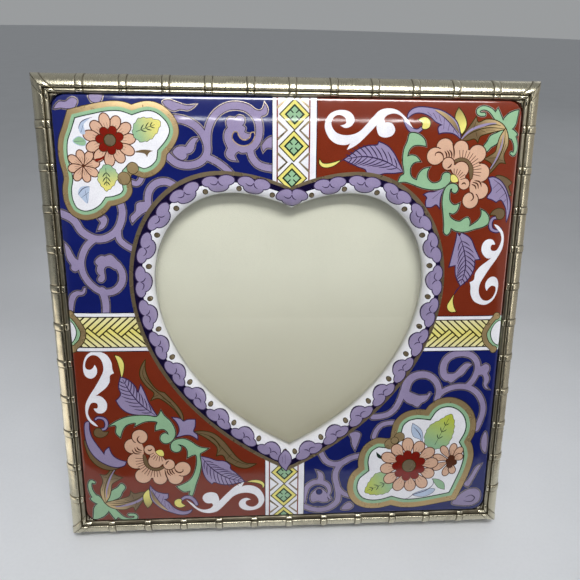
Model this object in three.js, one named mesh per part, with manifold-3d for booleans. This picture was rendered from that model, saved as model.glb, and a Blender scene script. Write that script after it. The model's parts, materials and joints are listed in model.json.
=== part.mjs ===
// Standing square picture frame: cast metal rails around an enamelled panel with a heart
// opening, glass, picture card, velvet board with a hinged easel strut, four turn buttons.
// Everything is drawn upright (x right, y up the picture, z to the viewer, origin in the
// middle of the rails' rear plane) and then leaned back on its strut.
import * as THREE from "three";
import ManifoldModule from "manifold-3d";

const booleans = await ManifoldModule();
booleans.setup();
const { Manifold, Mesh } = booleans;

// Driving dimensions in millimetres and degrees

// Stance
const LEAN = 15;
const STRUT_OPENING = 26;
const FIT_GAP = 0.2;

// Rails
const FRAME_SIZE = 152;
const RAIL_LAND = 4.4;
const SIGHT_LIP = 1.5;
const LIP_THICKNESS = 2.1;
const SLOPE_RISE = 5;
const BEAD_WIDTH = 1.5;
const BEAD_GROOVE = 0.8;
const BAND_PITCH = 12.25;
const BAND_WIDTH = 2;
const BAND_PROUD = 0.35;
const BAND_EDGE = 0.2;
const CORNER_BAND = 2.1;
const CORNER_RADIUS = 4;

// Enamelled panel and its heart
const FLANGE_THICKNESS = 2;
const PANEL_RISE = 3;
const EDGE_ROLL = 2.4;
const CROWN_WIDTH = 9;
const CROWN_RISE = 0.6;
const HEART_WIDTH = 86;
const HEART_TOP = 41.8;
const HEART_NOTCH = 37.3;
const HEART_SIDE = 14;
const HEART_TIP = -44;
const RIM_ROLL = 3.2;
const RIM_DROP = 3.2;

// Sheets behind the panel
const GLASS_THICKNESS = 2;
const CARD_THICKNESS = 0.4;
const BOARD_THICKNESS = 2.6;
const SHEET_CLEARANCE = 0.4;

// Easel strut and hinge
const HINGE_HEIGHT = 106;
const HINGE_WIDTH = 26;
const LEAF_LENGTH = 14;
const LEAF_THICKNESS = 0.8;
const BARREL_RADIUS = 1.6;
const PIN_RADIUS = 0.8;
const STRUT_THICKNESS = 3;
const STRUT_TOP_WIDTH = 32;
const STRUT_FOOT_WIDTH = 50;
const HEEL_BEVEL = 3;
const RIVET_RADIUS = 0.9;
const RIVET_HEAD_RADIUS = 2;
const RIVET_INSET = 5.5;

// Turn buttons and their screws
const BUTTON_OFFSET = 42;
const BUTTON_REACH = 9;
const BUTTON_WIDTH = 4;
const BUTTON_THICKNESS = 0.8;
const SCREW_RADIUS = 0.9;
const SCREW_HEAD_RADIUS = 1.8;
const SCREW_HEAD_HEIGHT = 0.9;
const SCREW_DEPTH = 3.2;

// Sizes that follow from them
const HOLE_GAP = 0.25;
const half = FRAME_SIZE / 2;
const rabbetHalf = half - RAIL_LAND;
const sightU = RAIL_LAND + SIGHT_LIP;
const sightHalf = half - sightU;
const boardZ = FIT_GAP;
const cardZ = boardZ + BOARD_THICKNESS + FIT_GAP;
const glassZ = cardZ + CARD_THICKNESS + FIT_GAP;
const panelZ = glassZ + GLASS_THICKNESS + FIT_GAP;
const flangeTop = panelZ + FLANGE_THICKNESS;
const lipZ = flangeTop + FIT_GAP;
const beadTop = lipZ + LIP_THICKNESS;
const crestZ = beadTop + 0.3;
const shoulderZ = crestZ - SLOPE_RISE;
const panelTop = flangeTop + PANEL_RISE;
const axisY = HINGE_HEIGHT - half;
const axisZ = boardZ - FIT_GAP - BARREL_RADIUS;
const rad = THREE.MathUtils.degToRad;

// A closed body gathered from loops of points
class Body {
  points = [];
  faces = [];

  loop(list) {
    const first = this.points.length;
    this.points.push(...list);
    return list.map((_, i) => first + i);
  }

  bridge(lower, upper) {
    lower.forEach((a, i) => {
      const j = (i + 1) % lower.length;
      this.faces.push([a, lower[j], upper[j]], [a, upper[j], upper[i]]);
    });
  }

  skin(loops) {
    loops.slice(1).forEach((next, i) => this.bridge(loops[i], next));
  }

  // Flat face over a loop and its holes, drawn in the plane that flat() gives
  fill(outer, holes, facing, flat) {
    const draw = (ids) => ids.map((id) => flat(this.points[id]));
    const ids = [outer, ...holes].flat();
    for (const face of THREE.ShapeUtils.triangulateShape(draw(outer), holes.map(draw))) {
      const [a, b, c] = draw(face.map((i) => ids[i]));
      const turn = (b.x - a.x) * (c.y - a.y) - (b.y - a.y) * (c.x - a.x);
      const [i, j, k] = face.map((n) => ids[n]);
      this.faces.push(turn * facing > 0 ? [i, j, k] : [i, k, j]);
    }
  }

  geometry() {
    const shape = new THREE.BufferGeometry().setFromPoints(this.points);
    shape.setIndex(this.faces.flat());
    return shape;
  }
}

const fromFront = (p) => new THREE.Vector2(p.x, p.y);
const fromEnd = (p) => new THREE.Vector2(p.y, p.z);

// Boolean helpers
function toSolid(geometry) {
  const position = geometry.attributes.position;
  const index = geometry.index ? [...geometry.index.array] : [...Array(position.count).keys()];
  const mesh = new Mesh({
    numProp: 3,
    vertProperties: new Float32Array(position.array),
    triVerts: new Uint32Array(index),
  });
  mesh.merge();
  return new Manifold(mesh);
}

function toGeometry(solid) {
  const mesh = solid.getMesh();
  const shape = new THREE.BufferGeometry();
  shape.setAttribute("position", new THREE.BufferAttribute(mesh.vertProperties, 3));
  shape.setIndex([...mesh.triVerts]);
  return shape;
}

const join = (shapes) => toGeometry(Manifold.union(shapes.map(toSolid)));
const cut = (shape, tools) =>
  toGeometry(toSolid(shape).subtract(Manifold.union(tools.map(toSolid))));
const common = (a, b) => toGeometry(toSolid(a).intersect(toSolid(b)));

// Simple shapes
function box(x0, x1, y0, y1, z0, z1) {
  const shape = new THREE.BoxGeometry(x1 - x0, y1 - y0, z1 - z0);
  return shape.translate((x0 + x1) / 2, (y0 + y1) / 2, (z0 + z1) / 2);
}

const sheet = (side, z, thickness) => box(-side, side, -side, side, z, z + thickness);

// Rod along x, or along z with its low end at z0
const rodX = (radius, x0, x1, sides) =>
  new THREE.CylinderGeometry(radius, radius, x1 - x0, sides)
    .rotateZ(Math.PI / 2)
    .translate((x0 + x1) / 2, 0, 0);
const rodZ = (radius, z0, z1, sides) =>
  new THREE.CylinderGeometry(radius, radius, z1 - z0, sides)
    .rotateX(Math.PI / 2)
    .translate(0, 0, (z0 + z1) / 2);

// Turned piece about z from its [radius, z] outline, both ends closed
function turned(outline, sides) {
  const body = new Body();
  const loops = outline.map(([r, z]) =>
    body.loop(
      [...Array(sides).keys()].map((i) => {
        const angle = (2 * Math.PI * i) / sides;
        return new THREE.Vector3(r * Math.cos(angle), r * Math.sin(angle), z);
      }),
    ),
  );
  body.skin(loops);
  body.fill(loops[0], [], -1, fromFront);
  body.fill(loops.at(-1), [], 1, fromFront);
  return body.geometry();
}

// Rail: a sloped outside, a groove and a small bead at the sight edge, crossed by ribbon bands
function railProfile(proud) {
  const points = [[0, 0], [0, shoulderZ]];
  const crestU = sightU - BEAD_WIDTH - 0.3;
  for (let step = 1; step <= 5; step++) {
    const turn = rad(18 * step);
    const lift = proud * Math.sin(turn);
    points.push([
      crestU - (crestU + lift) * Math.cos(turn),
      shoulderZ + (SLOPE_RISE + lift) * Math.sin(turn),
    ]);
  }
  points.push([crestU + 0.3, crestZ - BEAD_GROOVE + 1.6 * proud]);
  const beadRadius = BEAD_WIDTH / 2;
  for (const turn of [120, 75, 30]) {
    points.push([
      sightU - beadRadius + beadRadius * Math.cos(rad(turn)),
      beadTop - beadRadius + (beadRadius + proud) * Math.sin(rad(turn)),
    ]);
  }
  points.push([sightU, lipZ], [RAIL_LAND, lipZ], [RAIL_LAND, 0]);
  return points;
}

function railGeometry() {
  const plain = railProfile(0);
  const banded = railProfile(BAND_PROUD);
  const body = new Body();
  const ring = (profile, along) =>
    body.loop(profile.map(([u, z]) => new THREE.Vector3(along(u), half - u, z)));
  const mitre = (side, back) => (u) => side * (half - u - FIT_GAP - back);
  const corner = [
    [banded, 0],
    [banded, CORNER_BAND],
    [plain, CORNER_BAND + BAND_EDGE],
  ];
  const loops = corner.map(([profile, back]) => ring(profile, mitre(-1, back)));
  const bandsEachWay = Math.floor((sightHalf - CORNER_BAND - 2 * BAND_WIDTH) / BAND_PITCH);
  for (let band = -bandsEachWay; band <= bandsEachWay; band++) {
    const middle = band * BAND_PITCH;
    const reach = BAND_WIDTH / 2;
    loops.push(ring(plain, () => middle - reach - BAND_EDGE));
    loops.push(ring(banded, () => middle - reach));
    loops.push(ring(banded, () => middle + reach));
    loops.push(ring(plain, () => middle + reach + BAND_EDGE));
  }
  corner.reverse().forEach(([profile, back]) => loops.push(ring(profile, mitre(1, back))));
  body.skin(loops);
  body.fill(loops[0], [], -1, fromEnd);
  body.fill(loops.at(-1), [], 1, fromEnd);
  return body.geometry();
}

// Solder fillet that rounds one inner corner of the sight edge
function filletGeometry() {
  const inner = sightHalf - FIT_GAP;
  const centre = inner - CORNER_RADIUS;
  const outline = [new THREE.Vector2(inner, inner)];
  for (const turn of [78, 66, 54, 36, 24, 12]) {
    outline.push(
      new THREE.Vector2(
        centre + CORNER_RADIUS * Math.cos(rad(turn)),
        centre + CORNER_RADIUS * Math.sin(rad(turn)),
      ),
    );
  }
  outline.splice(1, 0, new THREE.Vector2(outline[1].x, inner));
  outline.push(new THREE.Vector2(inner, outline.at(-1).y));
  const body = new Body();
  const level = (z) => body.loop(outline.map((p) => new THREE.Vector3(p.x, p.y, z)));
  const loops = [level(lipZ), level(lipZ + LIP_THICKNESS * 0.8)];
  body.skin(loops);
  body.fill(loops[0], [], -1, fromFront);
  body.fill(loops[1], [], 1, fromFront);
  return body.geometry();
}

// Square with rounded corners, counter-clockwise
function roundedSquare(side, radius, z) {
  const points = [];
  for (let corner = 0; corner < 4; corner++) {
    for (let step = 0; step <= 6; step++) {
      const turn = rad(90 * corner + 15 * step);
      const sx = [1, -1, -1, 1][corner];
      const sy = [1, 1, -1, -1][corner];
      points.push(
        new THREE.Vector3(
          sx * (side - radius) + radius * Math.cos(turn),
          sy * (side - radius) + radius * Math.sin(turn),
          z,
        ),
      );
    }
  }
  return points;
}

// Heart outline, grown outwards from the opening, counter-clockwise from the tip
function heart(grow, z) {
  const wide = HEART_WIDTH / 2 + grow;
  const top = HEART_TOP + grow;
  const notch = HEART_NOTCH + 1.2 * grow;
  const tip = HEART_TIP - 1.15 * grow;
  const upper = top - HEART_SIDE;
  const lower = HEART_SIDE - tip;
  const side = new THREE.Shape();
  side.moveTo(0, tip);
  side.bezierCurveTo(0.78 * wide, tip + 0.29 * lower, wide, tip + 0.73 * lower, wide, HEART_SIDE);
  side.bezierCurveTo(wide, top - 0.43 * upper, 0.76 * wide, top, 0.42 * wide, top);
  side.bezierCurveTo(0.26 * wide, top, 0.085 * wide, notch + 0.44 * (top - notch), 0, notch);
  const right = side.getPoints(11);
  const left = right.slice(1, -1).reverse();
  return [
    ...right.map((p) => new THREE.Vector3(p.x, p.y, z)),
    ...left.map((p) => new THREE.Vector3(-p.x, p.y, z)),
  ];
}

// Panel: flange under the rails' lip, rolled and crowned field, heart with a rolled rim
function panelGeometry() {
  const body = new Body();
  const fieldHalf = sightHalf - FIT_GAP;
  const flangeHalf = rabbetHalf - SHEET_CLEARANCE;
  const corner = CORNER_RADIUS + FIT_GAP;
  const rollFoot = flangeTop + 0.3 * PANEL_RISE;
  const rollTop = panelTop - CROWN_RISE;
  const outside = [
    roundedSquare(flangeHalf, 1, panelZ),
    roundedSquare(flangeHalf, 1, flangeTop),
    roundedSquare(fieldHalf, corner, flangeTop),
  ];
  for (const turn of [0, 30, 60, 85]) {
    const inset = EDGE_ROLL * (1 - Math.cos(rad(turn)));
    const z = rollFoot + (rollTop - rollFoot) * Math.sin(rad(turn));
    outside.push(roundedSquare(fieldHalf - inset, corner, z));
  }
  for (const share of [0.35, 0.7, 1]) {
    const z = panelTop - CROWN_RISE * (1 - share) ** 2;
    outside.push(roundedSquare(fieldHalf - EDGE_ROLL - CROWN_WIDTH * share, corner, z));
  }
  const inside = [0, 18, 36, 54, 72, 90].map((turn) =>
    heart(RIM_ROLL * (1 - Math.sin(rad(turn))), panelTop - RIM_DROP * (1 - Math.cos(rad(turn)))),
  );
  inside.push(heart(0, panelZ));
  const outerLoops = outside.map((points) => body.loop(points));
  const innerLoops = inside.map((points) => body.loop(points));
  body.skin(outerLoops);
  body.skin(innerLoops);
  body.fill(outerLoops.at(-1), [innerLoops[0]], 1, fromFront);
  body.fill(outerLoops[0], [innerLoops.at(-1)], -1, fromFront);
  return body.geometry();
}

// Hinge: leaves lie down from the barrel, each on its own face of the folded pair
function leafGeometry(facing, knuckles) {
  const near = facing * (BARREL_RADIUS - LEAF_THICKNESS);
  const far = facing * BARREL_RADIUS;
  const z = [Math.min(near, far), Math.max(near, far)];
  const side = HINGE_WIDTH / 2;
  const parts = [box(-side, side, -LEAF_LENGTH, -BARREL_RADIUS - FIT_GAP, ...z)];
  for (const [x0, x1] of knuckles) {
    parts.push(box(x0, x1, -BARREL_RADIUS - 2 * FIT_GAP, 0, ...z));
    parts.push(rodX(BARREL_RADIUS, x0, x1, 24));
  }
  const holes = rivetSpots().map(([x, y]) =>
    rodZ(RIVET_RADIUS + HOLE_GAP, -2 * BARREL_RADIUS, 2 * BARREL_RADIUS, 16).translate(x, y, 0),
  );
  return cut(join(parts), [rodX(PIN_RADIUS + HOLE_GAP, -HINGE_WIDTH, HINGE_WIDTH, 20), ...holes]);
}

const rivetSpots = () =>
  [-1, 1].map((side) => [side * (HINGE_WIDTH / 2 - RIVET_INSET), -0.6 * LEAF_LENGTH]);

function pinGeometry() {
  const end = HINGE_WIDTH / 2 + FIT_GAP;
  const head = BARREL_RADIUS - 0.2;
  const outline = [
    [0.6 * head, -end - 0.9],
    [head, -end - 0.5],
    [head, -end],
    [PIN_RADIUS, -end],
    [PIN_RADIUS, end],
    [head, end],
    [head, end + 0.5],
    [0.6 * head, end + 0.9],
  ];
  return turned(outline, 16).rotateY(Math.PI / 2);
}

// Rivet along z with its shank end at z0 and a domed head that starts at z1
function rivetGeometry(z0, z1) {
  const rise = Math.sign(z1 - z0) * 0.5;
  const outline = [
    [RIVET_RADIUS, z0],
    [RIVET_RADIUS, z1],
    [RIVET_HEAD_RADIUS, z1],
    [0.85 * RIVET_HEAD_RADIUS, z1 + 0.5 * rise],
    [0.4 * RIVET_HEAD_RADIUS, z1 + rise],
  ];
  return turned(z1 > z0 ? outline : outline.reverse(), 20);
}

// Strut: tapered board, heel bevelled to bear on the back when open, foot cut level
const strutFront = -BARREL_RADIUS - FIT_GAP;
const strutRear = strutFront - STRUT_THICKNESS;
function strutGeometry() {
  const open = rad(STRUT_OPENING);
  const tilt = rad(STRUT_OPENING - LEAN);
  const bearing = boardZ - axisZ - 1.5 * FIT_GAP;
  const heelY = (bearing - strutFront * Math.cos(open)) / Math.sin(open);
  const heelTop = heelY + HEEL_BEVEL;
  const heelZ = (bearing - heelTop * Math.sin(open)) / Math.cos(open);
  const axisHeight = HINGE_HEIGHT * Math.cos(rad(LEAN)) + axisZ * Math.sin(rad(LEAN));
  const footY = (z) => (z * Math.sin(tilt) - axisHeight) / Math.cos(tilt);
  const outline = [
    [footY(strutRear), strutRear],
    [heelTop, strutRear],
    [heelTop, heelZ],
    [heelY, strutFront],
    [footY(strutFront), strutFront],
  ];
  const body = new Body();
  const reach = STRUT_FOOT_WIDTH;
  const loops = [-reach, reach].map((x) =>
    body.loop(outline.map(([y, z]) => new THREE.Vector3(x, y, z))),
  );
  body.skin(loops);
  body.fill(loops[0], [], -1, fromEnd);
  body.fill(loops[1], [], 1, fromEnd);

  const low = footY(strutRear) - 1;
  const top = STRUT_TOP_WIDTH / 2;
  const foot = STRUT_FOOT_WIDTH / 2;
  const face = new THREE.Shape();
  face.moveTo(-foot, low);
  face.lineTo(foot, low);
  face.lineTo(top, heelTop - 4);
  face.quadraticCurveTo(top, heelTop + 1, top - 5, heelTop + 1);
  face.lineTo(5 - top, heelTop + 1);
  face.quadraticCurveTo(-top, heelTop + 1, -top, heelTop - 4);
  const plan = new THREE.ExtrudeGeometry(face, {
    depth: STRUT_THICKNESS + 4,
    bevelEnabled: false,
    curveSegments: 6,
  });
  plan.translate(0, 0, strutRear - 2);
  const holes = rivetSpots().map(([x, y]) =>
    rodZ(RIVET_RADIUS + HOLE_GAP, strutRear - 1, strutFront + 1, 16).translate(x, y, 0),
  );
  return cut(common(body.geometry(), plan), holes);
}

// Turn button that reaches along +x from its screw
function buttonGeometry() {
  const wide = BUTTON_WIDTH / 2;
  const nose = 0.75 * wide;
  const face = new THREE.Shape();
  face.absarc(0, 0, wide, Math.PI / 2, 1.5 * Math.PI, false);
  face.absarc(BUTTON_REACH - nose, 0, nose, -Math.PI / 2, Math.PI / 2, false);
  const hole = new THREE.Path();
  hole.absarc(0, 0, SCREW_RADIUS + HOLE_GAP, 0, 2 * Math.PI, true);
  face.holes.push(hole);
  const plate = new THREE.ExtrudeGeometry(face, {
    depth: BUTTON_THICKNESS,
    bevelEnabled: false,
    curveSegments: 9,
  });
  return plate.translate(0, 0, -FIT_GAP - BUTTON_THICKNESS);
}

function screwGeometry() {
  const seat = -2 * FIT_GAP - BUTTON_THICKNESS;
  const top = seat - SCREW_HEAD_HEIGHT;
  const outline = [
    [0.8 * SCREW_HEAD_RADIUS, top],
    [SCREW_HEAD_RADIUS, top + 0.45 * SCREW_HEAD_HEIGHT],
    [SCREW_HEAD_RADIUS, seat],
    [SCREW_RADIUS, seat],
    [SCREW_RADIUS, SCREW_DEPTH - 0.6],
    [0.3 * SCREW_RADIUS, SCREW_DEPTH],
  ];
  const reach = 2 * SCREW_HEAD_RADIUS;
  const slot = box(-reach, reach, -0.3, 0.3, top - 1, top + 0.4 * SCREW_HEAD_HEIGHT);
  return cut(turned(outline, 20), [slot]);
}

const buttonSpots = [];
for (const side of [-1, 1]) {
  for (const level of [-1, 1]) {
    buttonSpots.push({ side, level, x: side * (half - RAIL_LAND / 2), y: level * BUTTON_OFFSET });
  }
}

// Colours and finishes
const finish = (color, roughness, metalness) => () =>
  new THREE.MeshStandardMaterial({ color, roughness, metalness });
const silver = finish("#b9b29c", 0.3, 1);
const solder = finish("#a39d8c", 0.35, 1);
const enamel = finish("#2a2f86", 0.1, 0);
const clear = finish("#dfe6e2", 0.03, 0);
const cream = finish("#cdcbb4", 0.8, 0);
const velvet = finish("#17161a", 0.95, 0);
const brass = finish("#a98a4c", 0.35, 1);

function piece(parent, name, geometry, material) {
  const mesh = new THREE.Mesh(geometry, material());
  mesh.name = name;
  parent.add(mesh);
}

// Assembly
const group = new THREE.Group();
group.name = "heart_picture_frame";
const leaning = new THREE.Group();
leaning.rotation.x = rad(90 - LEAN);
group.add(leaning);

const rail = railGeometry();
const screwHoles = buttonSpots.map((spot) =>
  rodZ(SCREW_RADIUS + HOLE_GAP, -1, SCREW_DEPTH + 0.3, 16).translate(spot.x, spot.y, 0),
);
const turnedRail = (degrees) => rail.clone().rotateZ(rad(degrees));
piece(leaning, "top_rail", turnedRail(0), silver);
piece(leaning, "left_rail", cut(turnedRail(90), screwHoles.slice(0, 2)), silver);
piece(leaning, "bottom_rail", turnedRail(180), silver);
piece(leaning, "right_rail", cut(turnedRail(-90), screwHoles.slice(2)), silver);

["top_right", "top_left", "bottom_left", "bottom_right"].forEach((corner, i) => {
  piece(leaning, `solder_${corner}`, filletGeometry().rotateZ(rad(90 * i)), solder);
});

const sheetHalf = rabbetHalf - SHEET_CLEARANCE;
const boardHoles = rivetSpots().map(([x, y]) =>
  rodZ(RIVET_RADIUS + HOLE_GAP, -1, boardZ + BOARD_THICKNESS + 1, 16).translate(x, axisY + y, 0),
);
piece(leaning, "enamel_panel", panelGeometry(), enamel);
piece(leaning, "glass_pane", sheet(sheetHalf, glassZ, GLASS_THICKNESS), clear);
piece(leaning, "picture_card", sheet(sheetHalf, cardZ, CARD_THICKNESS), cream);
piece(leaning, "back_board", cut(sheet(sheetHalf, boardZ, BOARD_THICKNESS), boardHoles), velvet);

for (const { side, level, x, y } of buttonSpots) {
  const place = `${level > 0 ? "upper" : "lower"}_${side > 0 ? "right" : "left"}`;
  const button = buttonGeometry().rotateZ(side > 0 ? Math.PI : 0);
  piece(leaning, `turn_button_${place}`, button.translate(x, y, 0), brass);
  piece(leaning, `button_screw_${place}`, screwGeometry().translate(x, y, 0), brass);
}

// Hinge line across the back; the strut side hangs in its own group, swung open
const hinge = new THREE.Group();
hinge.position.set(0, axisY, axisZ);
leaning.add(hinge);
const swing = new THREE.Group();
swing.rotation.x = rad(STRUT_OPENING);
hinge.add(swing);

const third = HINGE_WIDTH / 6;
const outerKnuckles = [
  [-HINGE_WIDTH / 2, -third - FIT_GAP / 2],
  [third + FIT_GAP / 2, HINGE_WIDTH / 2],
];
piece(hinge, "hinge_fixed_leaf", leafGeometry(1, outerKnuckles), brass);
piece(hinge, "hinge_pin", pinGeometry(), brass);
const middleKnuckle = [[-third + FIT_GAP / 2, third - FIT_GAP / 2]];
piece(swing, "hinge_moving_leaf", leafGeometry(-1, middleKnuckle), brass);
piece(swing, "easel_strut", strutGeometry(), velvet);

const boardFront = boardZ + BOARD_THICKNESS - FIT_GAP - axisZ;
const leafRear = BARREL_RADIUS - LEAF_THICKNESS - FIT_GAP;
const strutBack = strutRear - FIT_GAP;
const leafFront = LEAF_THICKNESS - BARREL_RADIUS - FIT_GAP / 2;
rivetSpots().forEach(([x, y], i) => {
  const place = ["left", "right"][i];
  piece(hinge, `board_rivet_${place}`, rivetGeometry(boardFront, leafRear).translate(x, y, 0), brass);
  piece(swing, `strut_rivet_${place}`, rivetGeometry(leafFront, strutBack).translate(x, y, 0), brass);
});

// Stand it on the floor, centred
group.updateMatrixWorld(true);
const extent = new THREE.Box3().setFromObject(group, true);
const centre = extent.getCenter(new THREE.Vector3());
leaning.position.set(-centre.x, -centre.y, -extent.min.z);

export default group;
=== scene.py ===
"""Dresses the CAD model of a standing enamelled heart frame for rendering."""

import json
import math

import bmesh
import bpy
import numpy as np
from mathutils import Matrix, Vector
from mathutils.geometry import delaunay_2d_cdt


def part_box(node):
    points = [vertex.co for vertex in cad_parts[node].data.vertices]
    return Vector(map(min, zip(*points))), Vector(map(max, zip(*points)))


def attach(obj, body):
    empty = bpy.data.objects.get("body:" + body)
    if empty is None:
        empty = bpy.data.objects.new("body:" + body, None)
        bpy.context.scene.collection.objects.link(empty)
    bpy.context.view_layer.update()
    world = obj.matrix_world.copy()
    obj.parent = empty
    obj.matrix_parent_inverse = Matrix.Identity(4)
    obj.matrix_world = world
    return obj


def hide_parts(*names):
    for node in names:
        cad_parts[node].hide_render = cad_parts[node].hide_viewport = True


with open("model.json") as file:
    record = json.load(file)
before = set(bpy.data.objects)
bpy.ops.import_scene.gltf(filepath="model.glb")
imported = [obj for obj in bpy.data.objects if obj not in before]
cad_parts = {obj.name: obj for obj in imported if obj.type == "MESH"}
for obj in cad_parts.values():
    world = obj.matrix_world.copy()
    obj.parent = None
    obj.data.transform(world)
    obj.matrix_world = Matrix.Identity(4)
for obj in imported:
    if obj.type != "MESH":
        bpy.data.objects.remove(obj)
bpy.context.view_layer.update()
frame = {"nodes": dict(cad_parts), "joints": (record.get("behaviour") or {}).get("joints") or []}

bl_info = {
    "name": "Enamelled Heart Frame",
    "version": (1, 0, 0),
    "blender": (4, 5, 0),
    "location": "View3D > Sidebar > Heart Frame",
    "description": "Makes the rails, enamel, glazing, back and stage of a standing heart frame",
    "category": "Object",
}

MM = 0.001
LAND = 4.4
LIP = 1.5


# Settings that a user would change
def tone(red, green, blue):
    """Linear colour from the three 0 to 255 values seen on a screen."""
    shares = [value / 255 for value in (red, green, blue)]
    return tuple(s / 12.92 if s <= 0.04045 else ((s + 0.055) / 1.055) ** 2.4 for s in shares)


def colour(name, description, seen):
    return bpy.props.FloatVectorProperty(
        name=name, description=description, default=tone(*seen), subtype="COLOR", size=3, min=0, max=1
    )


def length(name, description, millimetres):
    return bpy.props.FloatProperty(
        name=name, description=description, default=millimetres * MM, unit="LENGTH", min=0, precision=5
    )


def angle(name, description, degrees):
    return bpy.props.FloatProperty(
        name=name, description=description, default=math.radians(degrees), subtype="ANGLE"
    )


def power(name, description, watts):
    return bpy.props.FloatProperty(
        name=name, description=description, default=watts, unit="POWER", min=0
    )


class RailSettings(bpy.types.PropertyGroup):
    land: length("Land", "Width of the rail's flat rear face", LAND)
    lip: length("Lip", "How far the sight edge reaches over the panel", LIP)
    bead: length("Bead", "Width of the bead along the sight edge", 1.5)
    band_pitch: length("Band pitch", "Distance between ribbon bands", 12.25)
    band_width: length("Band width", "Width of one ribbon band", 2.0)
    band_proud: length("Band height", "How far a band stands off the slope", 0.35)
    corner_band: length("Corner band", "Band on each side of a mitre, along the rail", 2.1)
    silver: colour("Silver", "Bright metal of rails", (216, 209, 184))
    # Tarnish colour, also used for the painted shade on the rails' beads and slopes
    tarnish_and_shade: colour("Tarnish", "Dark film in grooves and hollows", (88, 80, 64))
    solder: colour("Solder", "Dull metal in the inner corners", (170, 162, 143))


class EnamelSettings(bpy.types.PropertyGroup):
    line: length("Line width", "Width of drawn lines between enamel colours", 0.32)
    cobalt: colour("Cobalt", "Blue ground", (19, 29, 97))
    brick: colour("Brick", "Red ground", (119, 45, 25))
    navy: colour("Navy", "Dark band around the heart", (18, 12, 46))
    white: colour("White", "White enamel", (236, 236, 240))
    lilac: colour("Lilac", "Scrolls and clouds", (150, 138, 171))
    plum: colour("Plum", "Lines around clouds and veins of leaves", (52, 38, 74))
    mint: colour("Mint", "Green leaves and cartouche edge", (148, 186, 148))
    pine: colour("Pine", "Dark green lines", (30, 52, 40))
    yellow: colour("Yellow", "Buds and strips", (229, 220, 122))
    peach: colour("Peach", "Flower petals", (216, 176, 149))
    umber: colour("Umber", "Brown drawing lines", (84, 44, 28))
    garnet: colour("Garnet", "Dark red flower hearts", (124, 28, 18))
    lime: colour("Lime", "Bright leaf tips", (186, 196, 74))
    olive: colour("Olive", "Brown-green leaves", (112, 93, 66))
    sky: colour("Sky", "Pale blue buds", (182, 198, 220))
    bark: colour("Bark", "Dark lines on yellow and brown", (58, 48, 18))
    wire: colour("Wire", "Greyed metal edges of scrolls and leaves", (150, 140, 130))
    # Gold made darker as painted shade, for the heart's line and dots, the flower hearts and the chevrons
    bronze: colour("Bronze", "Dark gilding around the heart, of its dots and flower hearts", (140, 124, 96))
    gold: colour("Gold", "Gold lines and dots", (194, 168, 122))


class GlazingSettings(bpy.types.PropertyGroup):
    card: colour("Card", "Cream card behind the glass", (214, 211, 195))
    # Colour of the card lower down, for its browning and the painted shade there
    stain: colour("Stain", "Card where it has browned, lower down", (164, 156, 132))
    glass: colour("Glass", "Tint of the glass", (253, 254, 253))


class BackSettings(bpy.types.PropertyGroup):
    velvet: colour("Velvet", "Pile of the board and strut", (34, 32, 39))
    nap: colour("Nap", "Pile where it is brushed the other way", (72, 69, 80))
    soft_edge: length("Soft edge", "Rounding of covered edges", 0.5)


class HardwareSettings(bpy.types.PropertyGroup):
    brass: colour("Brass", "Hinge, rivets, buttons and screws", (232, 210, 160))
    dull_brass: colour("Dull brass", "Brass where it is handled least", (188, 164, 118))
    soft_edge: length("Edge rounding", "Rounding of metal edges", 0.12)


class StageSettings(bpy.types.PropertyGroup):
    floor: colour("Floor", "Pale floor", (236, 238, 242))
    dark: colour("Dark card", "Card behind the camera that the gloss reflects", (38, 36, 36))
    glow: colour("Glow card", "Cards at the sides that the rails reflect", (250, 240, 226))
    lens: bpy.props.FloatProperty(
        name="Lens", description="Focal length on a 36 mm sensor", default=33.52, unit="CAMERA", min=1
    )
    roll: angle("Roll", "Turn of the camera about its own line of sight", 0.46)
    key_light: power("Key light", "Soft light above the viewer", 0.2)
    back_light: power("Back light", "Soft light over the floor behind", 0.35)
    front_light: power("Front light", "Soft light down on the floor before the frame", 0.42)
    side_light: power("Side lights", "Soft light from the right, weaker from the left", 0.2)
    strip_light: power("Strip light", "Narrow lamp that glints on the glaze", 0.06)


SETTINGS = {
    "heart_rails": RailSettings,
    "heart_enamel": EnamelSettings,
    "heart_glazing": GlazingSettings,
    "heart_back": BackSettings,
    "heart_hardware": HardwareSettings,
    "heart_stage": StageSettings,
}


# Drawing frame: millimetres right, up the picture and out of the rails' rear plane
BUTTON_DEPTH = 0.6


def drawing_frame():
    """Matrix from drawing millimetres to the row frame, found from the turn buttons behind the rails."""
    turns = [joint for joint in frame["joints"] if joint["name"].startswith("button_turn")]
    out = Vector(turns[0]["axis"]).normalized()
    right = Vector((1, 0, 0))
    up = out.cross(right)
    middle = sum((Vector(joint["pos_m"]) for joint in turns), Vector()) / len(turns)
    turn = Matrix((right, up, out)).transposed().to_4x4()
    return Matrix.Translation(middle + out * BUTTON_DEPTH * MM) @ turn @ Matrix.Scale(MM, 4)


PLACE = drawing_frame()
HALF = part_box("top_rail")[1].x / MM
FIT_GAP = 0.2
LIP_Z = 8.0
BEAD_TOP = 10.1
CREST_Z = 10.4
SLOPE_RISE = 5.0
PANEL_BACK = 5.8
FLANGE_TOP = 7.8
PANEL_TOP = 10.8
CORNER_RADIUS = 4.0


def in_row(points):
    """Drawing points as row-frame points in metres."""
    points = np.asarray(points, float)
    turn = np.array(PLACE.to_3x3())
    return points @ turn.T + np.array(PLACE.translation)


def add_object(name, data):
    """New object of the scene."""
    made = bpy.data.objects.new(name, data)
    bpy.context.scene.collection.objects.link(made)
    return made


def place_piece(name, mesh, body, replaced):
    """Piece that rides on a body and stands for a CAD node."""
    piece = add_object(name, mesh)
    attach(piece, body)
    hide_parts(replaced)


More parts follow.
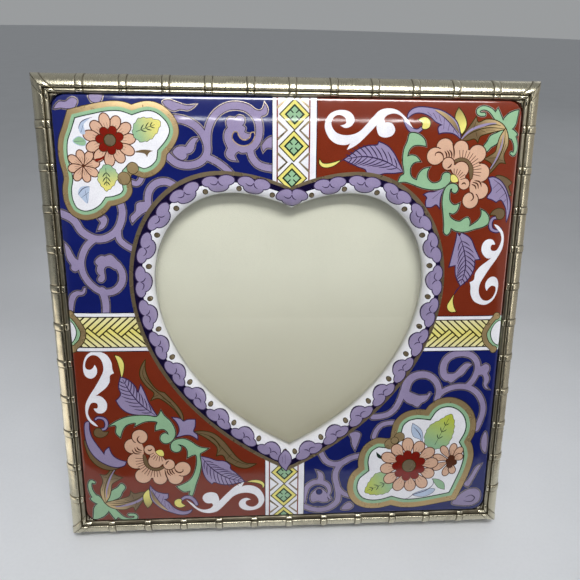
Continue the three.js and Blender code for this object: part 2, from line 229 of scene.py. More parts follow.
def add_casting(name, points, faces, tarnish_and_shade, replaced, metal, crease):
    """Metal piece of the frame from drawing points, with its tarnish and painted shade, sharp above the
    crease angle.
    """
    mesh = bpy.data.meshes.new(name)
    mesh.from_pydata([tuple(point) for point in in_row(points)], [], faces)
    mesh.materials.append(metal)
    mesh.shade_smooth()
    layer = mesh.attributes.new("tarnish_and_shade", "FLOAT", "POINT")
    layer.data.foreach_set("value", np.asarray(tarnish_and_shade, np.float32))
    shape = bmesh.new()
    shape.from_mesh(mesh)
    bmesh.ops.recalc_face_normals(shape, faces=shape.faces)
    shape.to_mesh(mesh)
    shape.free()
    mesh.set_sharp_from_angle(angle=math.radians(crease))
    place_piece(name, mesh, "frame", replaced)


def loft_faces(cuts, size):
    """Faces between neighbouring cuts of size points each, and over both ends."""
    faces = []
    for start in range(0, (cuts - 1) * size, size):
        for i in range(size):
            j = (i + 1) % size
            faces.append((start + i, start + j, start + size + j, start + size + i))
    last = (cuts - 1) * size
    return [*faces, tuple(range(size)), tuple(reversed(range(last, last + size)))]


# Node helpers
def plug(tree, socket, value):
    """Links a socket to the one given as its value, or sets a plain value."""
    if isinstance(value, bpy.types.NodeSocket):
        tree.links.new(value, socket)
    else:
        socket.default_value = value


def node(tree, kind, inputs=None, **settings):
    made = tree.nodes.new(kind)
    for key, value in settings.items():
        setattr(made, key, value)
    for key, value in (inputs or {}).items():
        plug(tree, made.inputs[key], value)
    return made


def rgba(values):
    return (*values, 1.0)


def blend_colours(tree, share, first, second, mode="MIX"):
    """Colour socket that goes from first to second with share."""
    inputs = {0: share, 6: first, 7: second}
    mix = node(tree, "ShaderNodeMix", inputs, data_type="RGBA", blend_type=mode, clamp_factor=True)
    return mix.outputs[2]


def span(tree, value, low, high, to_low=0.0, to_high=1.0):
    """Value socket stretched from one range to another and held inside it."""
    inputs = {"Value": value, 1: low, 2: high, 3: to_low, 4: to_high}
    return node(tree, "ShaderNodeMapRange", inputs, clamp=True).outputs[0]


def maths(tree, operation, first, second):
    return node(tree, "ShaderNodeMath", {0: first, 1: second}, operation=operation).outputs[0]


def object_place(tree):
    return node(tree, "ShaderNodeTexCoord").outputs["Object"]


def stretched(tree, place, by):
    return node(tree, "ShaderNodeVectorMath", {0: place, 1: by}, operation="MULTIPLY").outputs[0]


def noise(tree, place, scale, detail):
    return node(tree, "ShaderNodeTexNoise", {"Vector": place, "Scale": scale, "Detail": detail}).outputs[0]


def attribute(tree, name, output="Fac"):
    return node(tree, "ShaderNodeAttribute", attribute_name=name).outputs[output]


def new_group(name, inputs, outputs):
    """Empty node group with inputs of given defaults and outputs of given kinds, and both its ends."""
    tree = bpy.data.node_groups.new(name, "ShaderNodeTree")
    kinds = {1: "Float", 3: "Vector", 4: "Color"}
    for socket, default in inputs.items():
        kind = f"NodeSocket{kinds[np.size(default)]}"
        tree.interface.new_socket(socket, in_out="INPUT", socket_type=kind).default_value = default
    for socket, kind in outputs.items():
        tree.interface.new_socket(socket, in_out="OUTPUT", socket_type=f"NodeSocket{kind}")
    return tree, tree.nodes.new("NodeGroupInput").outputs, tree.nodes.new("NodeGroupOutput").inputs


PATCH_RANGE = (0.35, 0.65)
SPECK_RANGE = (0.4, 0.7)
STAIN_RANGE = (0.42, 0.72)
FILM_BREAKS = (0.25, 0.6, 0.7, 1.0)
SCRATCH_STRETCH = (1, 0.08, 0.08)
SCRATCH_SCALE = 4200.0
SCRATCH_WEAR = 0.06
NOISE_RANGE = (0.3, 0.7)


def group_mottle():
    """Uneven colour: large soft patches and fine specks over a base colour."""
    sizes = {"Patch scale": 60.0, "Speck scale": 2500.0, "Patches": 0.3, "Specks": 0.1}
    colours = {"Colour": (0.5, 0.5, 0.5, 1), "Second": (0.4, 0.4, 0.4, 1)}
    tree, given, out = new_group("mottle", {**colours, **sizes}, {"Colour": "Color", "Value": "Float"})
    place = object_place(tree)
    patch = noise(tree, place, given["Patch scale"], 4.0)
    speck = noise(tree, place, given["Speck scale"], 2.0)
    patches = maths(tree, "MULTIPLY", span(tree, patch, *PATCH_RANGE), given["Patches"])
    specks = maths(tree, "MULTIPLY", span(tree, speck, *SPECK_RANGE), given["Specks"])
    share = maths(tree, "ADD", patches, specks)
    tree.links.new(blend_colours(tree, share, given["Colour"], given["Second"]), out["Colour"])
    tree.links.new(share, out["Value"])
    return tree


def group_grain():
    """Bump from noise that may be stretched along one axis, and the noise itself."""
    tree, given, out = new_group(
        "grain",
        {"Scale": 1500.0, "Stretch": (1, 1, 1), "Detail": 3.0, "Strength": 0.2, "Depth": 0.0001},
        {"Normal": "Vector", "Value": "Float"},
    )
    place = stretched(tree, object_place(tree), given["Stretch"])
    height = noise(tree, place, given["Scale"], given["Detail"])
    inputs = {"Strength": given["Strength"], "Distance": given["Depth"], "Height": height}
    tree.links.new(node(tree, "ShaderNodeBump", inputs).outputs[0], out["Normal"])
    tree.links.new(height, out["Value"])
    return tree


def group_patina():
    """Metal that goes from bright to dark by a mask, broken up by stains and scratches."""
    colours = {"Bright": (0.8, 0.8, 0.8, 1), "Dark": (0.1, 0.1, 0.1, 1)}
    values = {"Mask": 0.0, "Stains": 0.3, "Stain scale": 180.0, "Smooth": 0.2, "Rough": 0.55}
    tree, given, out = new_group("patina", {**colours, **values}, {"Colour": "Color", "Roughness": "Float"})
    place = object_place(tree)
    stain = noise(tree, place, given["Stain scale"], 6.0)
    film = maths(tree, "MULTIPLY", span(tree, stain, *STAIN_RANGE), given["Stains"])
    weight = maths(tree, "MULTIPLY", given["Mask"], span(tree, stain, *FILM_BREAKS))
    either = {0: film, 1: weight}
    total = node(tree, "ShaderNodeMath", either, operation="MAXIMUM", use_clamp=True).outputs[0]
    scratch = noise(tree, stretched(tree, place, SCRATCH_STRETCH), SCRATCH_SCALE, 2.0)
    worn = span(tree, scratch, *PATCH_RANGE, -SCRATCH_WEAR, SCRATCH_WEAR)
    rough = span(tree, total, 0.0, 1.0, given["Smooth"], given["Rough"])
    tree.links.new(blend_colours(tree, total, given["Bright"], given["Dark"]), out["Colour"])
    tree.links.new(maths(tree, "ADD", rough, worn), out["Roughness"])
    return tree


def shared(name):
    """A shared effect's node group, built the first time it is asked for."""
    makers = {"mottle": group_mottle, "grain": group_grain, "patina": group_patina}
    return bpy.data.node_groups.get(name) or makers[name]()


def effect(tree, name, **inputs):
    """Outputs of a shared effect that is placed with its own values."""
    named = {key.replace("_", " "): value for key, value in inputs.items()}
    return node(tree, "ShaderNodeGroup", named, node_tree=shared(name)).outputs


def new_material(name):
    """Material with its empty Principled shader."""
    material = bpy.data.materials.new(name)
    material.use_nodes = True
    return material, material.node_tree, material.node_tree.nodes["Principled BSDF"]


def feed(tree, shader, **values):
    for key, value in values.items():
        plug(tree, shader.inputs[key.replace("_", " ")], value)


def matte_finish(tree, shader, colour, roughness, **grain):
    """Base colour on a grained surface whose roughness varies with the grain."""
    bump = effect(tree, "grain", **grain)
    uneven = span(tree, bump["Value"], *NOISE_RANGE, *roughness)
    feed(tree, shader, Base_Color=colour, Roughness=uneven, Normal=bump["Normal"])


def metal_material(name, bright, dark, mask, grain, **patina):
    material, tree, shader = new_material(name)
    colours = {"Bright": rgba(bright), "Dark": rgba(dark)}
    film = effect(tree, "patina", Mask=attribute(tree, mask), **colours, **patina)
    bump = effect(tree, "grain", **grain)
    shader.inputs["Metallic"].default_value = 1.0
    feed(tree, shader, Base_Color=film["Colour"], Roughness=film["Roughness"], Normal=bump["Normal"])
    return material


# Rails: sloped outside, groove, bead at the sight edge, ribbon bands across
# Painted shade on the top of each rail's bead, lightest on the top rail and darkest on the bottom one
PAINTED_BEAD_SHADES = {"top": 0.4, "left": 0.6, "bottom": 0.92, "right": 0.5}
BEAD_FLANK_FILM = 0.75
BEAD_TURNS = (150, 125, 100, 80, 60, 40, 20, 0)
ARRIS = 0.25
LIP_ARRIS = 0.15
GROOVE = 0.3
GROOVE_DEPTH = 0.75
SLOPE_CUTS = 14
PLAIN_CUTS = 5
UNEVEN = 0.08
BAND_MARGIN = 0.55
BANDS_FROM = 3.0
RAIL_CREASE = 55

# Cuts across the edge of a band: place from that edge, lift and tarnish
BAND_EDGE = [
    (-BAND_MARGIN, 0.0, 0.05), (-0.36, -0.02, 0.35), (-0.2, -0.2, 1.0),
    (-0.08, -0.12, 1.0), (0.04, 0.7, 0.45), (0.2, 0.96, 0.0),
]
MITRE_EDGE = [(0.09, 1.0, 1.0), (0.03, 1.0, 0.2), (-0.6, 1.05, 0.0)]
CORNER_EDGE = [
    (0.2, 1.0, 0.0), (0.03, 0.7, 0.5), (-0.1, -0.15, 1.0),
    (-0.22, -0.15, 0.9), (-0.4, 0.0, 0.3), (-0.7, 0.0, 0.0),
]


def rail_section(rails, lift, painted_bead_shade):
    """(inset, height, tarnish and painted shade) around one cut through a rail whose surface stands lift
    proud.
    """
    land = rails.land / MM
    sight = land + rails.lip / MM
    bead = rails.bead / MM / 2
    crest = sight - 2 * bead - GROOVE
    shoulder = CREST_Z - SLOPE_RISE
    section = [(ARRIS, 0.0, 0.6), (0.0, ARRIS, 0.5), (0.0, 0.5 * shoulder, 0.3), (0.0, shoulder, 0.45)]
    for step in range(1, SLOPE_CUTS + 1):
        turn = math.radians(90 * step / SLOPE_CUTS)
        # Tarnish and painted shade on the slope: darker near the shoulder and near the crest, so that a
        # bright stripe runs down its middle
        film = max(0.0, 0.66 - 0.11 * step, 0.08 * step - 0.8)
        rise = lift * math.sin(turn)
        across = crest - (crest + rise) * math.cos(turn)
        section.append((across, shoulder + (SLOPE_RISE + rise) * math.sin(turn), film))
    section += [
        (crest + 0.4 * GROOVE, CREST_Z - 0.06 + lift, 0.1),
        (crest + 0.8 * GROOVE, CREST_Z - 0.3 + lift, 0.7),
        (crest + GROOVE, CREST_Z - GROOVE_DEPTH + 1.3 * lift, 1.0),
    ]
    # Painted shade on the bead's top, by rail, left off where a band crosses it
    bead_top_shade = 0.0 if lift > 0.2 else painted_bead_shade
    for degrees in BEAD_TURNS:
        turn = math.radians(degrees)
        reach = bead + (lift if degrees > 20 else 0) * math.sin(turn)
        on_top = 40 <= degrees <= 130
        film = bead_top_shade if on_top else max(BEAD_FLANK_FILM, painted_bead_shade)
        across = sight - bead + bead * math.cos(turn)
        section.append((across, BEAD_TOP - bead + reach * math.sin(turn), film))
    section += [(sight, LIP_Z + LIP_ARRIS, 0.9), (sight - LIP_ARRIS, LIP_Z, 1.0), (land, LIP_Z, 1.0)]
    section += [(land, ARRIS, 0.8), (land - ARRIS, 0.0, 0.6)]
    return section


def rail_stations(rails):
    """(place along the rail, lift, tarnish) for every cut between the two corner bands."""
    half_band = rails.band_width / MM / 2
    pitch = rails.band_pitch / MM
    shape = [*BAND_EDGE, (0.55 * half_band, 1.05, 0.0), (half_band, 1.08, 0.0)]
    sight = HALF - (rails.land + rails.lip) / MM
    count = math.floor((sight - (rails.corner_band + 2 * rails.band_width) / MM) / pitch)
    free = pitch - 2 * half_band - 2 * BAND_MARGIN
    stations = []
    for band in range(-count, count + 1):
        middle = band * pitch
        rising = [(middle - half_band + s, lift, dark) for s, lift, dark in shape]
        falling = [(2 * middle - s, lift, dark) for s, lift, dark in reversed(rising[:-1])]
        stations += rising + falling
        if band < count:
            for step in range(1, PLAIN_CUTS + 1):
                along = middle + half_band + BAND_MARGIN + free * step / (PLAIN_CUTS + 1)
                stations.append((along, UNEVEN * math.sin(2.3 * along + band), 0.0))
    return stations


def rail_mesh(rails, painted_bead_shade):
    """Points and faces of the top rail in drawing millimetres, and its tarnish and painted shade."""
    proud = rails.band_proud / MM
    corner = rails.corner_band / MM
    ends = MITRE_EDGE + [(s - corner, lift, dark) for s, lift, dark in CORNER_EDGE]
    cuts = [(lambda u, s=s: -(HALF - u - FIT_GAP + s), lift, dark) for s, lift, dark in ends]
    cuts += [(lambda u, s=s: s, lift, dark) for s, lift, dark in rail_stations(rails)]
    cuts += [(lambda u, s=s: HALF - u - FIT_GAP + s, lift, dark) for s, lift, dark in reversed(ends)]
    points, tarnish_and_shade = [], []
    for along, lift, dark in cuts:
        for u, z, film in rail_section(rails, lift * proud, painted_bead_shade):
            points.append((along(u), HALF - u, z))
            tarnish_and_shade.append(max(film, dark * (1.0 if z > BANDS_FROM else 0.2)))
    return points, loft_faces(len(cuts), len(points) // len(cuts)), tarnish_and_shade


def turned_about_middle(points, quarter):
    """Drawing points turned by quarter turns about the middle of the picture."""
    cos, sin = [(1, 0), (0, 1), (-1, 0), (0, -1)][quarter]
    points = np.asarray(points, float)
    x, y = points[:, 0], points[:, 1]
    return np.column_stack([cos * x - sin * y, sin * x + cos * y, points[:, 2]])


def make_rails(rails):
    grain = {"Scale": 1400.0, "Detail": 4.0, "Strength": 0.45, "Depth": 0.00008}
    patina = {"Stains": 0.36, "Smooth": 0.19, "Rough": 0.55}
    metal = metal_material("silvered_rail", rails.silver, rails.tarnish_and_shade, "tarnish_and_shade", grain, **patina)
    for quarter, (side, painted_bead_shade) in enumerate(PAINTED_BEAD_SHADES.items()):
        points, faces, tarnish_and_shade = rail_mesh(rails, painted_bead_shade)
        turned = turned_about_middle(points, quarter)
        name = f"{side}_rail_cast"
        add_casting(name, turned, faces, tarnish_and_shade, f"{side}_rail", metal, RAIL_CREASE)


# Solder: share of the way into the corner, height over the lip and tarnish around one cut
SOLDER_SECTION = [
    (0.0, 0.0, 1.0), (0.0, 0.9, 0.8), (0.05, 1.35, 0.3), (0.16, 1.66, 0.0),
    (0.4, 1.82, 0.1), (0.75, 1.74, 0.3), (1.0, 1.62, 0.7), (1.0, 0.0, 1.0),
]
SOLDER_STEPS = 20
SOLDER_START = 10
SOLDER_SWEEP = 70
SOLDER_CREASE = 60


def make_solder(rails):
    """Domed fillets that round the inner corners of the sight edge."""
    grain = {"Scale": 900.0, "Detail": 3.0, "Strength": 0.4, "Depth": 0.0001}
    patina = {"Stains": 0.6, "Smooth": 0.22, "Rough": 0.5}
    metal = metal_material("solder", rails.solder, rails.tarnish_and_shade, "tarnish_and_shade", grain, **patina)
    inner = HALF - (rails.land + rails.lip) / MM - FIT_GAP
    centre = inner - CORNER_RADIUS
    points, tarnish_and_shade = [], []
    for step in range(SOLDER_STEPS + 1):
        turn = math.radians(SOLDER_START + SOLDER_SWEEP * step / SOLDER_STEPS)
        way = np.array([math.cos(turn), math.sin(turn)])
        near = centre + CORNER_RADIUS * way
        far = centre + way * CORNER_RADIUS / max(way)
        for share, height, film in SOLDER_SECTION:
            points.append((*(near + (far - near) * share), LIP_Z + height))
            tarnish_and_shade.append(film)
    faces = loft_faces(SOLDER_STEPS + 1, len(SOLDER_SECTION))
    for quarter, corner in enumerate(("top_right", "top_left", "bottom_left", "bottom_right")):
        turned = turned_about_middle(points, quarter)
        name = f"solder_fillet_{corner}"
        add_casting(name, turned, faces, tarnish_and_shade, f"solder_{corner}", metal, SOLDER_CREASE)


# Lines and shapes for the enamel drawing, in panel millimetres
LINE_STEP = 0.55
MIN_STEPS = 3
DISC_SIDES = 20
CAP_TURNS = (60, 30, 0, -30, -60)
CAP_FROM = 0.12
MITRE_LIMIT = 0.45
TINY = 1e-9


def unit(ways, spare=0.0):
    """Rows scaled to a length of one, with a spare amount that keeps empty rows from failing."""
    return ways / (np.linalg.norm(ways, axis=1)[:, None] + spare)


def stretches(line):
    """Lengths of the straight pieces of a line."""
    return np.linalg.norm(np.diff(line, axis=0), axis=1)


def walked(line):
    """Distances of a line's points from its start, along the line."""
    return np.concatenate([[0], np.cumsum(stretches(line))])


def smooth(points, closed=False):
    """Flowing line through given points; a point with a third value is a corner."""
    spots = [np.array(point[:2], float) for point in points]
    corners = {i for i, point in enumerate(points) if len(point) > 2}
    count = len(spots)
    if not closed:
        corners |= {0, count - 1}

    def chord(i):
        return spots[(i + 1) % count] - spots[i % count]

    def heading(i):
        before, after = chord(i - 1), chord(i)
        return (before + after) / (np.linalg.norm(before) + np.linalg.norm(after))

    line = []
    for i in range(count if closed else count - 1):
        j = (i + 1) % count
        run = chord(i)
        size = np.linalg.norm(run)
        straight = run / size
        start = straight if i in corners else heading(i)
        end = straight if j in corners else heading(j)
        if i in corners and j not in corners:
            start = 1.5 * straight - 0.5 * end
        if j in corners and i not in corners:
            end = 1.5 * straight - 0.5 * start
        both = i in corners and j in corners
        steps = 1 if both else max(MIN_STEPS, math.ceil(size / LINE_STEP))
        for t in np.arange(steps) / steps:
            line.append(
                (2 * t**3 - 3 * t**2 + 1) * spots[i]
                + (t**3 - 2 * t**2 + t) * size * start
                + (3 * t**2 - 2 * t**3) * spots[j]
                + (t**3 - t**2) * size * end
            )
    if not closed:
        line.append(spots[-1])
    return np.array(line)


def form(points):
    """Closed flowing outline through given points."""
    return smooth(points, closed=True)


def polygon(*points):
    return np.array(points, float)


def ribbon(points, *widths):
    """Outline of a stroke along a flowing line, its widths spread evenly from start to end."""
    line = smooth(points)
    way = unit(np.gradient(line, axis=0))
    side = np.column_stack([-way[:, 1], way[:, 0]])
    far = walked(line)
    width = np.interp(far / far[-1], np.linspace(0, 1, len(widths)), widths)[:, None] / 2
    left, right = line + side * width, line - side * width

    def cap(spot, ahead, across, reach):
        if reach < CAP_FROM:
            return []
        return [spot + reach * (math.sin(t) * across + math.cos(t) * ahead) for t in np.radians(CAP_TURNS)]

    end = cap(line[-1], way[-1], side[-1], width[-1, 0])
    start = cap(line[0], -way[0], -side[0], width[0, 0])
    return np.array([*left, *end, *right[::-1], *start])


def disc(x, y, across, high=None, turn=0.0):
    """Round or oval spot."""
    turns = 2 * math.pi * np.arange(DISC_SIDES) / DISC_SIDES
    oval = np.column_stack([across * np.cos(turns), (high or across) * np.sin(turns)])
    return placed(oval, x, y, turn)


def placed(shape, x, y, turn=0.0, size=1.0):
    """Shape turned by degrees about its own origin, scaled and moved to a place."""
    cos, sin = math.cos(math.radians(turn)), math.sin(math.radians(turn))
    spun = size * np.asarray(shape, float) @ np.array([[cos, sin], [-sin, cos]])
    return spun + np.array([x, y])


def grown(outline, reach):
    """Outline pushed outwards all round."""
    after, before = np.roll(outline, -1, axis=0), np.roll(outline, 1, axis=0)
    area = np.sum(outline[:, 0] * after[:, 1] - after[:, 0] * outline[:, 1])
    first, second = unit(outline - before, TINY), unit(after - outline, TINY)
    middle = unit(first + second, TINY)
    stretch = 1 / np.clip(np.sum(middle * second, axis=1), MITRE_LIMIT, 1)
    normal = np.column_stack([middle[:, 1], -middle[:, 0]]) * math.copysign(1, area)
    return outline + normal * (reach * stretch)[:, None]


class Painting:
    """Coloured areas laid over one another on the panel."""

    def __init__(self, line):
        self.areas = []
        self.line = line
        self.spot = (0.0, 0.0, 0.0, 1.0)

    def fill(self, outline, tint):
        if isinstance(tint, tuple):
            tint = (*tint[:2], *placed(tint[2:], *self.spot))
        self.areas.append((placed(outline, *self.spot), tint))

    def cell(self, outline, tint, line="gold", width=None, hair=0.0):
        """Area with a drawn line around it."""
        self.cells([outline], tint, line, width, hair)

    def leaf(self, style, points):
        """Flowing area in a style: a plain tint, or tint, line, its width and a hair of metal around it."""
        outline = form(points)
        if isinstance(style, str):
            self.fill(outline, style)
        else:
            self.cell(outline, *style)

    def cells(self, outlines, tint, line="gold", width=None, hair=0.0):
        """Areas that run into one another, with one line, and a hair of metal, around them all."""
        width = width or self.line
        rings = [(width + hair, "wire"), (width, line), (0.0, tint)]
        for reach, paint in rings if hair else rings[1:]:
            for outline in outlines:
                self.fill(grown(outline, reach), paint)

    def strokes(self, tint, width, *lines):
        """Plain lines that taper at both ends."""
        for line in lines:
            self.fill(ribbon(line, 0.4 * width, width, width, 0.4 * width), tint)


# Heart
HEART_WIDE = 43.0
HEART_TOP = 41.8
HEART_NOTCH = 37.3
HEART_SIDE = 14.0
HEART_TIP = -44.0
RIM_ROLL = 3.2
RIM_DROP = 3.2
HEART_STEPS = 32


def bezier(a, b, c, d, steps):
    t = np.arange(steps)[:, None] / steps
    a, b, c, d = (np.array(p, float) for p in (a, b, c, d))
    return (1 - t) ** 3 * a + 3 * t * (1 - t) ** 2 * b + 3 * t**2 * (1 - t) * c + t**3 * d


def heart(grow, notch_lift=0.0, steps=HEART_STEPS):
    """Heart outline grown outwards from the opening, counter-clockwise from the tip."""
    wide, top = HEART_WIDE + grow, HEART_TOP + grow
    notch = HEART_NOTCH + 1.2 * grow + notch_lift
    tip = HEART_TIP - 1.15 * grow
    upper, lower = top - HEART_SIDE, HEART_SIDE - tip
    right = np.vstack(
        [
            bezier((0, tip), (0.78 * wide, tip + 0.29 * lower), (wide, tip + 0.73 * lower),
                   (wide, HEART_SIDE), steps),
            bezier((wide, HEART_SIDE), (wide, top - 0.43 * upper), (0.76 * wide, top),
                   (0.42 * wide, top), steps),
            bezier((0.42 * wide, top), (0.26 * wide, top),
                   (0.085 * wide, notch + 0.44 * (top - notch)), (0, notch), steps),
        ]
    )
    left = (right[1:] * (-1, 1))[::-1]
    return np.vstack([right, [(0, notch)], left])


def walk(line, distances):
    """Places and headings at distances along a line."""
    far = walked(line)

    def at(distance):
        return np.array([np.interp(distance, far, line[:, k]) for k in (0, 1)])

    found = []
    for distance in distances:
        ahead = at(distance + 0.5) - at(distance - 0.5)
        found.append((*at(distance), math.degrees(math.atan2(ahead[1], ahead[0]))))
    return found


def paint_heart_border(art):
    """Gold line, dark band with lilac clouds, white rim with gold dots."""
    art.fill(placed(heart(6.6, -1.6), -0.6, 0), "bronze")
    art.fill(placed(heart(5.4, -1.2), -0.6, 0), "navy")
    art.fill(heart(3.3, -0.5), "white")
    half = 3 * HEART_STEPS
    for side in (1, -1):
        flip = np.array([side, 1])
        rim = heart(1.5)[: half + 1][::-1] * flip
        total = np.sum(stretches(rim))
        first, last, count = 6.4, total - 1.9, 14
        gap = (last - first) / (count - 1)
        for x, y, _ in walk(rim, [first + gap * i for i in range(count)]):
            art.cell(disc(x, y, 0.62), "bronze", "bark", 0.22)
        middle = heart(3.35)[: half + 1][::-1] * flip
        stretch = np.sum(stretches(middle)) / total
        for x, y, turn in walk(middle, [(first + gap * (i + 0.5)) * stretch for i in range(count - 1)]):
            paint_cloud(art, x, y, turn + (0 if side > 0 else 180))
    paint_cloud(art, 0, 41.0, 0, 22)
    bud = form([
        (-1.6, -44.6), (0.2, -46.2), (0.3, -48.4), (-0.8, -50.4), (-1.2, -51.6, 1), (-2.6, -50.2),
        (-3.7, -48.2), (-3.3, -46)
    ])
    art.cell(bud, "lilac", "plum")
    art.strokes("plum", 0.22, [(-1.6, -45.6), (-1.5, -49.2)], [(-2.5, -46.4), (-2.4, -48.6)])


def paint_cloud(art, x, y, turn, bend=4):
    """Lilac cloud of two outer lobes and a larger inner one."""
    lobes = [
        disc(-2.42, 0.45, 2.45, 1.45, bend), disc(2.42, 0.45, 2.45, 1.45, -bend), disc(0, -1.0, 2.95, 1.75)
    ]
    art.cells([placed(lobe, x, y, turn) for lobe in lobes], "lilac", "plum", 0.3)
    folds = [[(-2.5, 0), (-1.7, -0.5), (-0.7, -0.5), (0, 0.5)], [(0, 0.5), (0.3, -0.5), (1.3, -1.1)]]
    art.strokes("plum", 0.3, *[placed(fold, x, y, turn) for fold in folds])


# Strips between the quarters
def lozenge(x, y, reach):
    return polygon((x + reach, y), (x, y + reach), (x - reach, y), (x, y - reach))


def paint_lozenge(art, x, y):
    """Yellow lozenge with a mint square and four ticks."""
    art.cell(lozenge(x, y, 4.2), "yellow", "bark", 0.34)
    art.cell(lozenge(x, y, 2.3), "mint", "pine", 0.5)
    for turn in (45, 135, 225, 315):
        art.fill(placed(ribbon([(0.7, 0), (1.6, 0)], 0.36, 0.36), x, y, turn), "pine")


def paint_upright_strip(art, left, right, low, high, spots):
    """White strip with red lines, lozenges and chevrons between them."""
    for spare, tint in ((0.25, "navy"), (0, "white")):
        x, far = left - spare, right + spare
        art.fill(polygon((x, low), (far, low), (far, high), (x, high)), tint)
    inner = (left + 1.35, right - 2.05)
    for x in inner:
        art.fill(polygon((x - 0.2, low), (x + 0.2, low), (x + 0.2, high), (x - 0.2, high)), "garnet")
    for y in [0.5 * (a[1] + b[1]) for a, b in zip(spots, spots[1:])]:
        x = 0.5 * sum(inner)
        for side, edge in ((-1, inner[0] + 0.2), (1, inner[1] - 0.2)):
            tip = x + side * 1.9
            art.fill(ribbon([(edge, y + 2.5), (tip, y, 1), (edge, y - 2.5)], 0.65, 0.65), "bronze")
    for x, y in spots:
        paint_lozenge(art, x, y)


def paint_weave_strip(art, left, right, low, high, start, point):
    """Yellow plait of three bars each way between white stripes, pointing left or right."""
    def bar(bottom, top, tint):
        art.fill(polygon((left, bottom), (right, bottom), (right, top), (left, top)), tint)

    bar(low, high, "navy")
    bar(low + 0.28, low + 1.35, "white")
    bar(high - 1.35, high - 0.28, "white")
    middle, tall = 0.5 * (low + high), 0.5 * (high - low) - 1.7
    for side in (1, -1):
        bar(middle, middle + side * tall, (
            "yellow", "white", (left, middle), (left, middle + side * 3 * tall)
        ))
    wide, rise = 3.45, 3.1
    for k in range(3 * 7):
        for side in (1, -1):
            share = k % 3 / 3
            along = start + point * wide * (2 * (k // 3) + share + (side < 0))
            height = middle - side * rise * (0.5 - share)
            reach = (tall - side * (height - middle)) * wide / rise
            art.fill(ribbon(
                [(along - point * reach, middle + side * tall), (along, height)], 0.46, 0.46
            ), "bark")


def paint_half_cartouche(art, x, y, side):
    """Gold bracket around mint and white at the outer end of a weave strip."""
    def at(points):
        return [(x + side * px, y + py) for px, py in points]

    art.fill(form(at([(5, 5.4), (2.2, 4.2), (0.4, 0), (2.2, -4.4), (5, -5.6)])), "mint")
    art.fill(form(at([(5, 4), (2.9, 2.9), (1.7, -0.2), (2.9, -3.4), (5, -4.6)])), "pine")
    art.fill(form(at([(5, 3.7), (3.1, 2.7), (2, -0.2), (3.1, -3.2), (5, -4.3)])), "white")
    curve = at([(3.5, 5.6), (2.5, 4.6), (1, 2.6), (-0.3, -0.4), (0.6, -3.4), (2.2, -5), (3.5, -6.1)])
    knobs = [disc(*spot, 1.1) for spot in at([(3.4, 5.5), (3.4, -6)])]
    art.cells([ribbon(curve, 1.3, 1.5, 1.5, 1.3), *knobs], "gold", "bark", 0.26)


def paint_strips(art):
    paint_upright_strip(art, -5.9, 7.1, 40, 72, [(0.6, 73.7), (0.6, 64.8), (0.4, 55.7), (-0.1, 46.4)])
    paint_upright_strip(art, -8.3, 4.9, -72, -48, [(-1.8, -52.2), (-2, -61.2), (-2, -70.2)])
    paint_weave_strip(art, -72, -40, -8.1, 4.9, -39.9, -1)
    paint_weave_strip(art, 40, 72, -9.4, 2.9, 41.6, 1)
    paint_half_cartouche(art, -65.8, -1.2, -1)
    paint_half_cartouche(art, 64.2, -3, 1)


# Flowers, leaves and scrolls
LILAC_LEAF = ("lilac", "plum", 0.34)
MINT_LEAF = ("mint", "pine", 0.28, 0.13)
YELLOW_BUD = ("yellow", "bark", 0.26)


def paint_petal(art, x, y, turn, inner, outer, half):
    """One round-ended petal with two lines at its root, pointing away from the middle of its flower."""
    body = outer - inner
    flank = [
        (inner + 0.3 * body, 0.6 * half), (inner + 0.62 * body, half), (inner + 0.9 * body, 0.7 * half)
    ]
    petal = form([(inner, 0), *flank, (outer, 0), *[(u, -v) for u, v in reversed(flank)]])
    art.cell(placed(petal, x, y, turn), "peach", "umber", 0.3)
    for lean in (-0.3, 0.3):
        hair = [(inner + 0.15 * body, 0.6 * lean * half), (inner + 0.55 * body, lean * half)]
        art.strokes("umber", 0.2, placed(hair, x, y, turn))


def paint_daisy(art, x, y, inner, outer, half, count, start=0.0):
    """Ring of petals."""
    for k in range(count):
        paint_petal(art, x, y, start + 360 * k / count, inner, outer * (1 + 0.04 * math.sin(2.7 * k)), half)


def paint_flower_heart(art, x, y, reach, size, count, core):
    """Dark red lobes around a gold middle."""
    art.fill(disc(x, y, 0.85 * reach), "garnet")
    for k in range(count):
        turn = 360 * k / count + 20
        spot = placed([(reach, 0)], x, y, turn)[0]
        art.cell(disc(*spot, size, 0.9 * size, turn), "garnet", "umber", 0.18)
    art.fill(disc(x, y, 0.8 * reach), "garnet")
    art.cell(disc(x, y, core), "bronze", "bark", 0.25)


def paint_two_tone_leaf(art, outline, root, tip, bright="yellow", teeth=12):
    """Veined, toothed leaf that turns from green at its root to a brighter tip."""
    edge = form(outline)
    saw = np.arange(len(edge)) * teeth / len(edge) % 1
    art.cell(grown(edge, 0.4 * saw), ("mint", bright, root, tip), "pine", 0.14)
    paint_veins(art, [root, tip], 4, 1.9, "pine", 0.3)


def paint_veins(art, rib, count, reach, tint="plum", width=0.33):
    """Middle rib from stalk to tip with side veins that lean towards the tip."""
    art.strokes(tint, 1.2 * width, rib)
    line = smooth(rib)
    total = np.sum(stretches(line))
    for k in range(1, count):
        x, y, turn = walk(line, [total * k / count])[0]
        far = reach * math.sin(math.pi * (k / count) ** 0.8) ** 0.6
        for side in (-1, 1):
            vein = placed([(0, 0), (0.5 * far, 0.06 * far * side), (far, 0)], x, y, turn + side * 38)
            art.strokes(tint, width, vein)


def paint_vine(art, outlines, tint="lilac", line="plum", edge=0.2, hair=0.26):
    """Scrolls and leaves that grow out of one another, with metal along their edges."""
    art.cells(outlines, tint, line, edge, hair)


def paint_cartouche(art, outline, gold, mint, line):
    """White field edged with gold, mint and a dark line of given widths."""
    shape = form(outline)
    art.cell(shape, "gold", "bark", 0.22)
    art.fill(grown(shape, -gold), "mint")
    art.fill(grown(shape, -gold - mint), "pine")
    art.fill(grown(shape, -gold - mint - line), "white")


